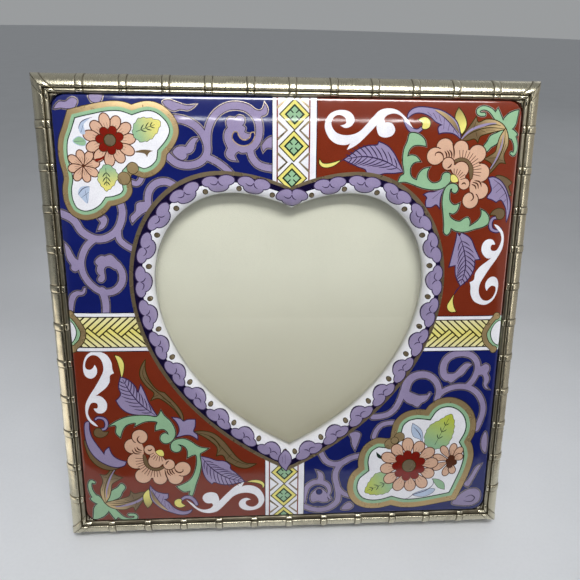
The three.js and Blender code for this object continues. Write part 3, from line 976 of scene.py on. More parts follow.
def paint_upper_left(art):
    """Blue quarter with a flower cartouche and lilac scrolls."""
    art.fill(polygon((-72, 4.8), (-5.9, 4.8), (-5.9, 72), (-72, 72)), "cobalt")
    paint_vine(art, [
        ribbon([(-35.5, 63.2), (-31.5, 62.7), (-28, 60.8), (-25.7, 57.5), (-25.2, 54), (-26.7, 51.4),
                (-30, 50), (-34, 50.4), (-37, 52.8)], 2.0, 2.0),
        ribbon([(-25.1, 56), (-24.7, 60.5), (-22.8, 64.2), (-19.6, 66.5), (-16, 67), (-12.8, 66),
                (-10.5, 63.5), (-9.8, 60.5), (-10.3, 57.5), (-12, 55.3), (-15, 54.6)], 1.8, 2.0, 1.9),
        ribbon([(-12.6, 55), (-12, 52.4), (-10, 50.2), (-6, 49.2)], 1.9, 2.0),
        ribbon([(-25.5, 52.4), (-22.5, 51), (-19.8, 49), (-17, 46)], 1.8, 1.7),
        form([(-13, 66.6), (-10, 65.6), (-8.8, 66.1), (-8.2, 67.6, 1), (-7.5, 66.2), (-7.8, 64.8),
              (-9.2, 64.2), (-10.2, 63.4)]),
        form([(-13, 54.4), (-16, 54.1), (-17.2, 53), (-16.6, 51.4, 1), (-18.7, 51.8), (-19.8, 53.2),
              (-19.1, 55, 1), (-20.1, 57.5), (-19.9, 59.6), (-19, 60.8, 1), (-19.4, 62.3), (-18.6, 63.6),
              (-16.9, 63.3, 1), (-15.8, 64.2), (-14.4, 63.7), (-14.2, 62.4), (-14.9, 61.5, 1),
              (-13.9, 60.7), (-14.2, 59.6), (-12.5, 59, 1), (-13, 57), (-11.5, 55.6)]),
        form([(-5.5, 58.4), (-7.4, 57.8), (-9, 55.8), (-8.7, 54.2, 1), (-7.6, 55.2), (-5.5, 55.3)]),
        form([(-37.6, 67.8), (-36, 68.3), (-33.8, 67.6), (-31, 66.8), (-28.4, 67, 1), (-30.4, 65.7),
              (-33, 65.9), (-34.6, 65.4), (-36.6, 66.4)]),
        form([(-27.7, 57.7, 1), (-29.2, 57.7), (-30.5, 56.5), (-31.4, 55.2, 1), (-32.5, 55.4),
              (-33.8, 55.2), (-34.7, 54.6), (-35.3, 53.6), (-33.9, 52), (-32.5, 51.5), (-31.4, 52.2),
              (-31.3, 53.3, 1), (-30, 53.6), (-29.1, 54.7), (-28.7, 56.3)])
    ])
    crescent = form([
        (-17.2, 59.5), (-16.4, 59.4), (-15.9, 58.2), (-14.8, 57.3), (-13.5, 57.3), (-12.4, 58.2),
        (-12.2, 59.3), (-11.4, 59.4), (-11.5, 58), (-12.7, 56.4), (-14.7, 55.8), (-16.7, 56.6), (-17.7, 58)
    ])
    art.cell(crescent, "cobalt", "gold", 0.3)
    paint_vine(art, [
        ribbon([(-43.2, 38.5), (-42.9, 42), (-41, 44.4), (-38, 45.2), (-35.5, 44.2),
                (-33, 42)], 1.9, 2.0, 1.8),
        ribbon([(-48, 45), (-46, 44.6), (-44.6, 46.5)], 1.4, 1.4),
        ribbon([(-69, 35.5), (-65.5, 33.6), (-63.4, 30.3), (-60, 28.2), (-57, 28.1), (-54, 29.6),
                (-52, 32.2), (-51, 36), (-51.5, 39)], 2.2, 2.0),
        ribbon([(-52.6, 30.4), (-52.4, 28), (-51, 26.4), (-48.8, 25)], 1.8, 1.7),
        ribbon([(-59.5, 28.2), (-62.4, 25.6), (-64.2, 21.6), (-64, 17.5), (-61.8, 13.8), (-58.4, 11.5),
                (-55, 11.8), (-52.6, 14.2), (-52.2, 17.4), (-53.6, 20.2)], 1.9, 1.9, 2.1),
        ribbon([(-58.6, 12), (-57.8, 8), (-58.2, 3)], 2.2, 2.0),
        ribbon([(-69, 5), (-68, 9.5), (-66.5, 11), (-64.6, 11.2), (-63.9, 12.6)], 1.6, 1.8, 0.6),
        form([(-42.2, 38.6), (-44.5, 39.2), (-46.6, 38.6), (-47, 36.4), (-48.6, 34.6), (-48.2, 32.8, 1),
              (-46.4, 34.6), (-44.6, 36), (-42.6, 36.8)]),
        form([(-58.3, 34.1), (-57.5, 33), (-58.1, 31.9), (-58.6, 30.6, 1), (-56.9, 31.3), (-55.9, 32.7),
              (-55.6, 34), (-56.4, 35.1), (-57.2, 34.5)]),
        form([(-53, 20.2), (-54.3, 22.4), (-55.4, 23.1), (-57.1, 22.6, 1), (-58.2, 22.8), (-59.8, 21.6),
              (-60, 20.5), (-59.3, 19.9, 1), (-59.8, 18.5), (-59.5, 17.4), (-58.8, 16.8, 1), (-59.7, 15.4),
              (-58.8, 14.6), (-57.6, 15.4), (-57.5, 17), (-57.6, 18.5), (-56.9, 19.5), (-55.6, 19.5),
              (-54, 18.6)]),
        form([(-69, 26.8, 1), (-68.8, 23.8), (-68.4, 21.6), (-67.4, 19.9), (-67.6, 18.8), (-66.4, 17.9),
              (-64.9, 19), (-64.5, 21), (-66, 22), (-66.8, 23.4), (-67.7, 25.4)]),
        form([(-68.6, 65.6), (-67, 67.4), (-65.2, 67.4), (-63.4, 68.6), (-62, 67.8), (-62.8, 65.8, 1),
              (-65, 65.6), (-66.8, 65.8)]),
        form([(-58.6, 69.5), (-57.8, 67.6), (-55.6, 67.6), (-55, 69.5)])
    ])
    paint_cartouche(art, [
        (-64.8, 65.2, 1), (-60, 66.4), (-54, 67.6), (-49.8, 67.7), (-46.6, 66.8, 1), (-42, 67.9),
        (-38, 66.8), (-34.6, 63.6), (-33.4, 60), (-34.4, 56.5), (-37.2, 53, 1), (-38, 50), (-40.6, 47.4),
        (-44, 46.3), (-47.6, 47.2), (-47.9, 45), (-47.8, 42), (-49.5, 39.6), (-52.5, 38.3), (-54.2, 38, 1),
        (-56, 36), (-59, 34.3), (-62.5, 33.8), (-66, 35.4), (-67.8, 39), (-68, 43), (-67.4, 46.2),
        (-68.4, 52), (-68, 57), (-66.4, 61)
    ], 1.5, 0.95, 0.3)
    for x, y, size in ((-47.2, 49, 1.6), (-49.9, 46, 1.8)):
        art.cell(disc(x, y, size), "gold", "bark", 0.2)
    paint_daisy(art, -61.4, 49.5, 0.4, 4.7, 1.1, 8, 12)
    paint_daisy(art, -53.3, 56.9, 1.8, 7.3, 1.42, 11, 4)
    paint_flower_heart(art, -53.3, 56.9, 2.75, 1.3, 7, 1.6)
    paint_two_tone_leaf(art, [
        (-46.4, 60), (-44.6, 62.8), (-41.6, 63), (-38.6, 62.1, 1), (-39.6, 59.6), (-41.8, 57.4),
        (-44.2, 56.7), (-46, 58)
    ], (-45.6, 59.4), (-40.2, 61.4))
    paint_two_tone_leaf(art, [
        (-55, 49.8), (-52.8, 48.6), (-51.8, 46.6), (-53.2, 44.2), (-55.1, 42.5, 1), (-57, 44.8), (-57.1, 47)
    ], (-55, 49), (-55, 43.8))
    art.leaf("olive", [
        (-46.4, 53.6), (-44, 54.3), (-41, 54, 1), (-42.2, 53.4), (-42.8, 52.2, 1), (-43.6, 53.2)
    ])
    art.leaf("sky", [(-62, 60.4), (-61, 62), (-58.6, 63), (-60.4, 61.2), (-60.2, 58.6), (-61.4, 58.6)])
    art.leaf(("mint", "sky", 0.2), [
        (-63.8, 56.6), (-62, 57.8), (-60.2, 56.6), (-60.6, 55.4), (-62.6, 55.6)
    ])
    art.leaf("sky", [
        (-63.6, 41.6), (-62.6, 43.4), (-60.2, 43.6), (-60.4, 41.4), (-61, 38.6), (-62.2, 39.6)
    ])
    art.strokes(
        "plum", 0.22, [(-63.6, 41.2), (-62, 43), (-60, 43.6)], [(-62.8, 40.2), (-60.4, 42)],
        [(-61.4, 42.4), (-61, 38.8)], [(-62, 60), (-61, 62), (-58, 63.2)], [(-61.4, 59), (-60.6, 61)],
        [(-63.6, 56.4), (-60.6, 56.6)]
    )
    art.fill(ribbon([(-57.6, 51.2), (-55.8, 51.8), (-55.4, 52.2)], 0.9, 0.5), "garnet")


def paint_peony(art):
    """Peach flower of round lobes with combs of stamens around a brown cup."""
    def fan(x, y, near, far, turns):
        art.strokes("umber", 0.5, *[placed([(near, 0), (far, 0)], x, y, turn) for turn in turns])

    lobes = [
        (46.2, 55.9, 2.5), (51.2, 55.6, 2.2), (58.2, 43, 2.5), (57.9, 48.4, 2.7), (56.4, 54, 2.6),
        (43.4, 53.2, 2.5), (55.4, 40, 2.4)
    ]
    for x, y, size in lobes:
        art.cell(disc(x, y, size), "peach", "umber", 0.32)
    art.leaf("peach", [
        (43.3, 54.8), (46.3, 55.5), (51.2, 55.6), (55.7, 54), (57.9, 48.4), (58.2, 43), (55.7, 41.7),
        (54.8, 44.4), (55.2, 47), (53.9, 50.7), (52.4, 52.3), (49.6, 52), (48.2, 52.3), (45.2, 51.9)
    ])
    fan(51.7, 48.7, 4, 6.4, range(-12, 108, 10))
    art.cell(ribbon(
        [(49.5, 51.7), (51.5, 52.2), (53.4, 51.4), (54.7, 49.5), (55, 46.8)], 0.6, 1.3, 1.5, 0.7
    ), "olive", "umber", 0.2)
    inner = [disc(x, y, size) for x, y, size in ((47.6, 51, 1.8), (51.7, 49.3, 2.3), (53, 45, 1.65))]
    middle = form([
        (47.8, 50.2), (50.1, 50.6), (52.6, 49.5), (53.2, 46), (52.8, 44.4), (51.2, 45.9), (49.5, 47.8),
        (48.7, 49.2)
    ])
    art.cells([*inner, middle], "peach", "umber", 0.32)
    fan(49.7, 45.6, 2.2, 4, (92, 77, 62, 48, 34, 18))
    art.strokes(
        "umber", 0.46, [(43.4, 53.3), (43.5, 54), (44.3, 54.4), (45.3, 54.1), (45.9, 53.2), (46, 52.2)],
        [(55.5, 39.8), (56.3, 40.7), (56, 41.8), (55.4, 42.3), (54.4, 42.4)],
        [(48.5, 56.8), (49.1, 54.9), (49.2, 52.6)], [(46.2, 54.7), (46.8, 53.9), (47, 52.7)],
        [(46.9, 54.9), (47.6, 54), (47.7, 52.7)], [(47.6, 55.1), (48.4, 54.1), (48.5, 52.7)],
        [(56.2, 46), (57.9, 45.6), (58.5, 44.2)], [(55.7, 45.5), (57.2, 45), (57.6, 43.6)],
        [(55.4, 44.9), (56.5, 44.4), (56.9, 43.4)], [(47.4, 49.7), (48.2, 50.2), (48.7, 51)],
        [(52.2, 44.8), (53, 45.3), (53.6, 44.8)]
    )
    art.leaf(("yellow", "umber", 0.2), [
        (48.9, 47.7), (50.1, 47.5), (51.1, 46), (50.5, 45.5), (49.2, 45.6), (48.7, 46.5)
    ])


def paint_top_scroll(art):
    """Flat white scroll with a curl at each end."""
    art.leaf("white", [
        (14.2, 61.8, 1), (15.7, 62.3), (16, 63.3), (15.2, 64.3), (13.7, 64.8), (12.3, 64.2), (11.5, 63),
        (11.8, 61.2), (13, 59.8), (15, 59.1), (17.7, 59.2), (20, 60.2), (22, 62.2), (24, 64.5), (26, 66.3),
        (28.7, 66.9), (31.3, 66.3), (33.4, 64.7), (35, 62.8), (36.2, 61.2, 1), (34, 62.9), (32.6, 64.5),
        (30.4, 65.4), (28.2, 64.9), (27.2, 63.7), (27.6, 62.8, 1), (29.6, 62.6), (30.7, 60.8), (30, 59.2),
        (28, 58.5), (26, 59), (25.2, 60.6), (25, 62, 1), (22, 58.8), (20, 56.9), (18.3, 55.7),
        (16.3, 54.8, 1), (17.3, 56.7, 1), (15.7, 56.2), (13.3, 56.5), (11.3, 57.7), (10, 59.7), (9.5, 61.7),
        (10, 63.7), (11.3, 65.3), (13.7, 66.2), (16.3, 66), (18, 64.7), (18.3, 63), (17.3, 61.6),
        (15.7, 61.1)
    ])


def paint_side_scroll(art):
    """Flat white scroll that stands upright."""
    art.leaf("white", [
        (63.7, 32.6, 1), (65.3, 32), (67, 30), (67.5, 27.7), (67.2, 24.7), (65.7, 21.7), (63.7, 18.7),
        (61.7, 15.3), (60.7, 13), (60.8, 10.3), (62, 8.3), (63.7, 7.8), (65.3, 8.7), (66.3, 10.7),
        (66.2, 12.3), (65, 12.8), (64, 12.2), (63.3, 11.1, 1), (62.7, 12.4), (62.8, 14), (63.7, 15.3),
        (65, 15.8), (66.5, 15), (67.1, 13), (66.8, 10.3), (65.7, 8), (63.7, 6.6), (61.7, 6.6), (59.3, 7.8),
        (58, 10.2), (57.8, 12.6), (57.4, 14, 1), (58.7, 14.8), (59, 17), (60.3, 19), (62, 20.4),
        (63.8, 21.8, 1), (62.4, 21.8), (61, 23), (60.3, 24.7), (60.7, 26.7), (62, 27.8), (63.7, 27.7),
        (64.7, 26.2), (63.6, 26.1), (63.3, 25), (63.8, 24.2), (65.3, 24.3), (66.3, 26), (66.7, 28),
        (66, 30), (64.7, 31.3)
    ])


def paint_long_leaf(art):
    """Lilac leaf with an olive back, and the yellow leaf behind its tip."""
    art.leaf((("yellow", "olive", (50.8, 62), (48.6, 68)), "bark", 0.3), [
        (49.8, 67.2, 1), (49, 65.6), (48.9, 64), (49.8, 62), (51.1, 59.8, 1), (52, 61.2), (52.3, 63),
        (51.3, 65.4)
    ])
    art.leaf(LILAC_LEAF, [
        (34.3, 64.2, 1), (34.7, 65.7), (36, 66.8), (38, 67.3), (41, 67.1), (44.7, 66.3), (48.3, 64.2),
        (49.8, 62.2), (50.8, 58.4, 1), (49.6, 59.4), (48, 60.1), (45.6, 60.2), (44.2, 59.9, 1),
        (43.9, 61.6), (45.2, 62.3, 1), (43, 63.3), (41.3, 64.7), (39.3, 65.6), (37.3, 65.8), (35.7, 65.3)
    ])
    art.fill(form([
        (42.4, 66.7), (44.8, 66.1), (47, 64.9), (48.8, 63.2), (50, 61), (50.4, 59.8), (49.2, 61),
        (47.8, 62.6), (46, 64), (44, 65.6)
    ]), ("olive", "gold", (50, 60), (43, 66)))
    art.strokes(
        "plum", 0.3, [(42.6, 66.4), (46, 64), (48.6, 61.4), (50.4, 59)], [(40.3, 66), (41.6, 64.8)],
        [(42, 65.8), (43.2, 63.9)], [(43.8, 65.2), (44.6, 63)], [(45.5, 64.2), (45.4, 61.2)],
        [(47.2, 62.7), (46.8, 60.7)], [(48.6, 61.2), (48.4, 60.2)]
    )


def paint_bud_curl(art):
    """Small lilac ring that ends in a yellow bud."""
    paint_vine(art, [
        ribbon([(33.8, 63.4), (34.7, 61.6), (36, 60.6), (37.6, 60.5), (39.2, 61.8)], 0.9, 1.1, 0.6)
    ], edge=0.32, hair=0)
    art.leaf(YELLOW_BUD, [
        (37.7, 63.8, 1), (38.9, 64.4), (40.2, 64.3), (41.2, 63.2), (41.1, 61.8), (40, 61.1), (38.9, 61.4),
        (39, 62.6)
    ])


def paint_ring_curl(art):
    """Small grey ring with an olive bud at the end of the side scroll."""
    paint_vine(art, [
        ribbon([(65, 34.6), (63.2, 34.4), (62.5, 32.7), (63.1, 31), (65, 30.4), (66, 31)], 0.5, 0.9, 0.5)
    ], edge=0.36, hair=0)
    art.leaf(("olive", "bark", 0.26), [
        (62.2, 35.6, 1), (63.2, 36.9), (64.9, 37.5), (66.5, 36.9), (66.8, 35.4), (65.9, 34.3), (64.6, 34.4),
        (64, 35.4)
    ])


def paint_veined_leaf(art):
    """Broad lilac leaf with dark veins, on a stalk with a yellow bud."""
    art.leaf(LILAC_LEAF, [
        (15.7, 52, 1), (17.5, 53.2), (20, 55), (23, 56), (25.5, 56.2), (26, 57.1, 1), (28.5, 56),
        (30.5, 54), (32, 51.5), (33.6, 48.6, 1), (31, 48.2), (28, 48.1), (25, 47.3), (22.7, 48, 1),
        (22.2, 49.2), (20, 50), (17.8, 51)
    ])
    paint_veins(art, [(33.2, 48.8), (28, 51.6), (22, 52.9), (16.4, 52.1)], 11, 5.2)
    art.strokes("plum", 0.4, [(13.5, 51), (15.7, 52)])
    art.leaf(YELLOW_BUD, [
        (8.2, 51.9, 1), (9.2, 50.8), (11.3, 50.8), (14.4, 51.7, 1), (13, 50.5), (11, 49.7), (9.2, 49.8),
        (8.2, 50.7)
    ])


def paint_side_leaf(art):
    """Upright lilac leaf of two lobes, on a stalk with a yellow bud."""
    art.leaf(LILAC_LEAF, [
        (54.5, 13, 1), (52.8, 16.2), (52.4, 19.7, 1), (50.4, 19.2, 1), (51.2, 23.3), (52, 28),
        (52.1, 29.8, 1), (52.9, 28.8), (53.4, 29.8, 1), (56.4, 28), (58, 25), (59.9, 21.6, 1),
        (58.3, 21.4, 1), (58.2, 18), (56.8, 15.2)
    ])
    paint_veins(art, [(53, 28.8), (54.8, 24), (55.6, 19), (54.6, 13.6)], 10, 5)
    art.strokes("plum", 0.4, [(54.6, 12.9), (53.4, 11.4), (52.4, 9.6)])
    art.leaf(YELLOW_BUD, [
        (52.5, 9.8, 1), (51.7, 8.3), (50.7, 6.3), (51, 5), (52, 4.2), (53.6, 4.3, 1), (52.8, 5.8),
        (52.3, 7.8)
    ])


def paint_olive_leaves(art):
    """Two brown leaves either side of the corner flower."""
    art.leaf((("olive", "gold", (56, 60), (62, 63)), "bark", 0.3), [
        (50.8, 58, 1), (52, 60), (53.4, 61.9), (55.2, 64.6, 1), (55.9, 63.1), (58.4, 64), (61.1, 63.8),
        (63.3, 62.8), (64.6, 61.4, 1), (61.1, 60.6), (58.5, 59.9), (56.8, 59.2), (56.2, 57.6, 1),
        (55.1, 58.5), (52.9, 58)
    ])
    art.strokes("lilac", 0.75, [(51.2, 58.4), (53.8, 60.9), (58, 62.5), (61.4, 63)])
    art.strokes(
        "bark", 0.3, [(51.6, 58.2), (54.4, 60.3), (58.6, 61.6), (64.2, 61.4)], [(54.6, 61.4), (55.3, 63.6)],
        [(55.4, 60.4), (56, 58.6)], [(58, 62), (60.6, 62.6), (63, 62.3)], [(58.4, 61), (61.4, 61)],
        [(57, 60.8), (58.4, 60.4)]
    )
    art.leaf((("olive", "gold", (63, 52), (65, 59)), "bark", 0.3), [
        (64.6, 61.4, 1), (65.5, 59.4), (65.7, 56.6), (64.7, 53.7), (65.3, 51.4, 1), (63.6, 51.4),
        (62, 49.6), (59.8, 47.2, 1), (60.7, 49.6), (61.3, 51), (58.8, 52.5, 1), (60.7, 53.6), (62.1, 54.7),
        (62.5, 56.7), (63.2, 59.2)
    ])
    art.strokes(
        "bark", 0.3, [(64.5, 61), (64.5, 57), (63.3, 53), (60.6, 48.6)], [(63.5, 58.4), (63.3, 55)],
        [(60, 52.7), (62.8, 53)], [(65.2, 57), (64.4, 54)], [(64.8, 52), (63.2, 52.4)]
    )
    art.strokes("lilac", 0.5, [(64, 59.6), (63.8, 56.6), (62.4, 52.4), (60.8, 49.6)])


def paint_corner_flower(art):
    """Mint leaves that spread from the outer corner."""
    paint_vine(art, [
        ribbon([(57.6, 65.5), (56, 65.7), (55.8, 66.7), (57.4, 67.4), (59.4, 66.8), (61, 65.2),
                (62.8, 62.8)], 0.8, 1.0, 1.5),
        ribbon([(65.4, 60.8), (67, 59.4), (68.1, 57.6), (68.5, 55.6), (68, 54),
                (67.2, 54.3)], 1.8, 1.1, 0.7),
        form([(61.8, 67.2, 1), (61, 65.8), (61.4, 64), (63.4, 61.8), (63.6, 63.4), (62.7, 65.4)]),
        form([(64.2, 61.4), (63.5, 63.5), (65, 65.6), (66.7, 66.5), (68.3, 66.9, 1), (68, 64.7),
              (67.6, 62.6), (66.2, 61.2)]),
        form([(66, 61.4), (67.6, 60.8), (68.6, 59.8, 1), (67.6, 59), (66.4, 58.6), (65.2, 60)]),
        form([(64.4, 61.2), (62, 60.2), (60, 59.2), (59.2, 57.6), (58.2, 56), (59.2, 54.8), (60.4, 56),
              (62, 57), (63.2, 58.6)])
    ], "mint", "pine", 0.28, 0.13)


def paint_upper_right(art):
    """Red quarter with a peony, acanthus leaves and white scrolls."""
    art.fill(polygon((7.1, 2.8), (72, 2.8), (72, 72), (7.1, 72)), "brick")
    paint_long_leaf(art)
    paint_bud_curl(art)
    paint_top_scroll(art)
    paint_veined_leaf(art)
    paint_side_leaf(art)
    paint_ring_curl(art)
    paint_side_scroll(art)
    paint_corner_flower(art)
    paint_olive_leaves(art)
    art.leaf(("olive", "bark", 0.28), [
        (63, 47.4), (65.4, 47.2), (68.2, 45.4), (67.2, 44.4), (68.4, 41.6), (66, 43), (63.6, 46)
    ])
    art.leaf(LILAC_LEAF, [
        (60.7, 46.8, 1), (62.2, 47), (64.4, 46), (66.2, 44), (67.4, 41.7), (68.3, 39.3), (68.4, 36.7),
        (67.8, 33.6, 1), (67.4, 37), (66.6, 38.7), (65.2, 40.3), (63.7, 39.6, 1), (62.2, 40.4),
        (60.8, 40.9), (62, 43), (61.4, 45)
    ])
    art.strokes(
        "plum", 0.3, [(62.2, 46.4), (65, 44.4), (67, 41.4), (67.8, 37)], [(65.2, 44), (63.4, 42.4)],
        [(66.4, 42.2), (64.6, 40.6)], [(63.8, 45.2), (62.2, 43.6)], [(67, 40.4), (66, 39.2)]
    )
    art.leaf(LILAC_LEAF, [
        (40.8, 41.7, 1), (42, 42.3), (44, 42.5), (47, 44, 1), (45.9, 41.3), (45.7, 39.3), (45.8, 37.7, 1),
        (44.7, 38.8), (43.2, 38), (41.6, 38, 1), (41.5, 39.8), (41.8, 40.8)
    ])
    art.strokes("plum", 0.3, [(46.2, 43), (43.4, 40.4)])
    art.leaf(MINT_LEAF, [
        (35.3, 59.7), (34.7, 57.5), (33.8, 55.2), (33.6, 51.5), (34.2, 47.9), (33.2, 47.2), (32.4, 45.3, 1),
        (34.8, 45.5), (40, 43.8), (43.3, 43.3), (46.2, 43.7), (48, 45), (48.8, 46.6), (48.2, 48.1),
        (46.9, 48.3), (46.1, 47.6), (45.8, 46.2), (44.6, 45.3), (43, 45.2), (41.5, 46.5), (41.2, 48.4),
        (41.8, 49.8, 1), (39.9, 49.2), (38.7, 47.8), (38.2, 46, 1), (36.7, 46.7), (35.9, 48.2), (36, 50),
        (37, 51.3), (38.8, 51.7, 1), (37.6, 53), (36.2, 53.4), (34.8, 53, 1), (35.4, 55.2), (37, 56.4),
        (40.3, 56.2, 1), (39.9, 57.8), (38.6, 59.1), (37, 59.8)
    ])
    art.leaf(MINT_LEAF, [
        (49.4, 42.8), (50.4, 42.3), (51.2, 43.3), (50.7, 44.6), (49.2, 45), (47.7, 44.2), (46.9, 42.4),
        (46.7, 39.4), (47.2, 36), (47.7, 32.6), (47.9, 30), (48.8, 29.3), (49.7, 30.4), (49.9, 31.4),
        (51.4, 30.6), (54.4, 30.3), (57.7, 31.2), (60.4, 32), (61.7, 33), (61.7, 34.8), (60.6, 36.3),
        (59.2, 37.1, 1), (59.3, 35.3), (58.2, 33.6), (55.6, 31.8, 1), (55.8, 33.4), (55, 34.7),
        (53.8, 34.2), (52.6, 33.4), (51, 33.7), (49.4, 34.8), (49, 36.2), (50.2, 35.9), (51.4, 36.8),
        (52, 39, 1), (50.4, 38.5), (49, 39.6), (48.6, 41.2), (48.8, 43.4), (49.4, 43.6)
    ])
    paint_peony(art)


def paint_lower_left(art):
    """Red quarter: the motifs of the other red one turned half round, with leaves of its own."""
    art.fill(polygon((-72, -72), (-8.3, -72), (-8.3, -8), (-72, -8)), "brick")
    art.leaf(("olive", "bark", 0.34), [
        (-46.8, -11.2, 1), (-48.3, -14.1), (-48.4, -16.8), (-46.6, -19.9), (-44.3, -22.4),
        (-45.4, -24.8, 1), (-43.1, -24.1), (-40, -26.2), (-37.4, -29.1), (-35.5, -32.8, 1), (-35.6, -30.4),
        (-36.8, -27.8), (-39.2, -24.7), (-41.2, -22.4, 1), (-43.5, -21.4), (-45.9, -17.8), (-47, -14.1)
    ])
    art.leaf(("olive", "bark", 0.34), [
        (-32, -36.5, 1), (-28.6, -36.4), (-25.3, -37.5), (-22.5, -40.1), (-20.1, -43.4), (-17.9, -46.4),
        (-15.1, -48.5), (-11.7, -48.9, 1), (-14.6, -50.2), (-17.4, -49.8), (-19.5, -48.6),
        (-21.5, -47.3, 1), (-22.6, -45.2), (-24.6, -45.3, 1), (-24.4, -42.4), (-26.3, -40.1), (-29.2, -37.9)
    ])
    art.strokes(
        "bark", 0.3,
        [(-47.2, -13), (-47.6, -16.4), (-45, -20.4), (-42.4, -23), (-38.8, -26.8), (-36, -31.4)],
        [(-46.8, -16.8), (-44.6, -20)], [(-45, -23.8), (-43, -23)], [(-42, -24), (-39, -26)],
        [(-31, -36.8), (-26, -38.6), (-22.8, -42.6), (-19, -47), (-14, -49.2)],
        [(-24.2, -44.4), (-22.6, -42.4)], [(-27, -38.2), (-24.6, -40.2), (-23.4, -43)],
        [(-21.2, -46.6), (-19.8, -45)], [(-18.6, -48.6), (-17.2, -47.6)]
    )
    for dx, dy, motif in (
        (1.8, -0.4, paint_bud_curl), (0.8, -0.7, paint_top_scroll),
        (2.2, -0.3, paint_ring_curl), (0.6, -1.3, paint_side_scroll),
    ):
        art.spot = (dx, dy, 180, 1)
        motif(art)
    art.spot = (11.2, 8, 180, 1.15)
    paint_corner_flower(art)
    art.spot = (5.4, 2.6, 180, 1.055)
    paint_olive_leaves(art)
    art.spot = (17.5, -16.2, 156.5, 0.945)
    paint_veined_leaf(art)
    art.spot = (14.5, -15.9, 164.2, 0.954)
    paint_long_leaf(art)
    art.spot = (0, 0, 0, 1)
    art.leaf(YELLOW_BUD, [
        (-56.1, -9.3, 1), (-54.6, -9.9), (-53.6, -11.8), (-53.7, -14.3), (-54.5, -16.9, 1), (-54.8, -14.2),
        (-55.3, -11.7)
    ])
    art.leaf(LILAC_LEAF, [
        (-54.7, -16.8, 1), (-52.7, -17.7), (-50.7, -19.7), (-49.6, -22.1), (-48.6, -19.7, 1),
        (-47.5, -22.5), (-46.5, -25.6), (-44, -30.4, 1), (-48.5, -30), (-52.5, -29.3), (-55, -27.6),
        (-56.6, -24.8, 1), (-55, -22.7), (-55.5, -20)
    ])
    paint_veins(art, [(-44.4, -30.2), (-48.8, -26.4), (-52, -22), (-54.2, -17.4)], 10, 4.8)
    art.leaf(("olive", "bark", 0.28), [
        (-68, -39), (-67.4, -43.4), (-65.7, -46.8), (-63, -49), (-59.4, -49.7), (-55.4, -47.8), (-60, -47),
        (-65, -43)
    ])
    art.leaf(LILAC_LEAF, [
        (-67.4, -33), (-66.2, -32.2), (-66.2, -35), (-65.6, -37.8), (-64.2, -40.4), (-61.8, -44.2, 1),
        (-61.3, -42.6), (-60.2, -41.6, 1), (-59.2, -44.4), (-57.4, -46), (-55, -46.9, 1), (-55.6, -48.2),
        (-58.4, -48.7), (-62.2, -47.2), (-65, -44.8), (-66.8, -41.6), (-67.6, -37.4)
    ])
    art.leaf(LILAC_LEAF, [
        (-38.8, -31.2, 1), (-36.4, -31.7), (-35.3, -32.7), (-34, -32.1), (-31.6, -32.1, 1), (-31.7, -34.4),
        (-32.3, -36.3), (-31.1, -37.6), (-31, -39.1, 1), (-32.4, -38), (-34.2, -37.4), (-37.8, -38.2, 1),
        (-36.7, -36), (-37.2, -33.4)
    ])
    art.leaf(MINT_LEAF, [
        (-59.6, -33.8, 1), (-56.6, -31.9), (-53.6, -30.7), (-50.4, -30.3), (-46.8, -30.4), (-44, -30.8),
        (-42.5, -28.7, 1), (-41.6, -30.4), (-39.6, -32.6), (-38.4, -35.2), (-38.3, -37.4), (-39, -39),
        (-40.4, -40.2), (-42, -40.3), (-43.1, -39), (-42.8, -37.5), (-41.4, -36.7), (-40.4, -37.4),
        (-40.7, -36.3), (-42, -35.2), (-44.5, -35.6, 1), (-44.4, -34), (-43.8, -32.7), (-45.6, -32.2),
        (-48, -32.4), (-51.1, -33.9, 1), (-51, -32.7), (-53.8, -33.4), (-55.2, -35), (-56.2, -37.8, 1),
        (-57.4, -36.2), (-57.2, -34), (-57.8, -33.4)
    ])
    art.leaf(MINT_LEAF, [
        (-39.5, -43), (-39.8, -41.2), (-39, -39.8), (-37.4, -39.1), (-35.4, -39), (-33.4, -39.9),
        (-30.6, -42), (-27.6, -42.7, 1), (-29, -43.7), (-30.3, -44.6), (-30.1, -48.6), (-30.7, -52),
        (-32, -55.8), (-33.4, -60.2), (-34.3, -59.8), (-33.9, -58.4), (-36, -58.7), (-38.3, -56.7, 1),
        (-35, -55.2), (-33, -53.2), (-31.8, -50), (-31.3, -46.6), (-31.8, -44.8), (-34.4, -45.8, 1),
        (-34.3, -43.6), (-35, -42), (-36.6, -41), (-37.6, -41), (-36.6, -41.7), (-36.7, -43), (-38, -43.7)
    ])
    art.spot = (2.55, 9.13, 186, 1.03)
    paint_peony(art)
    art.spot = (0, 0, 0, 1)


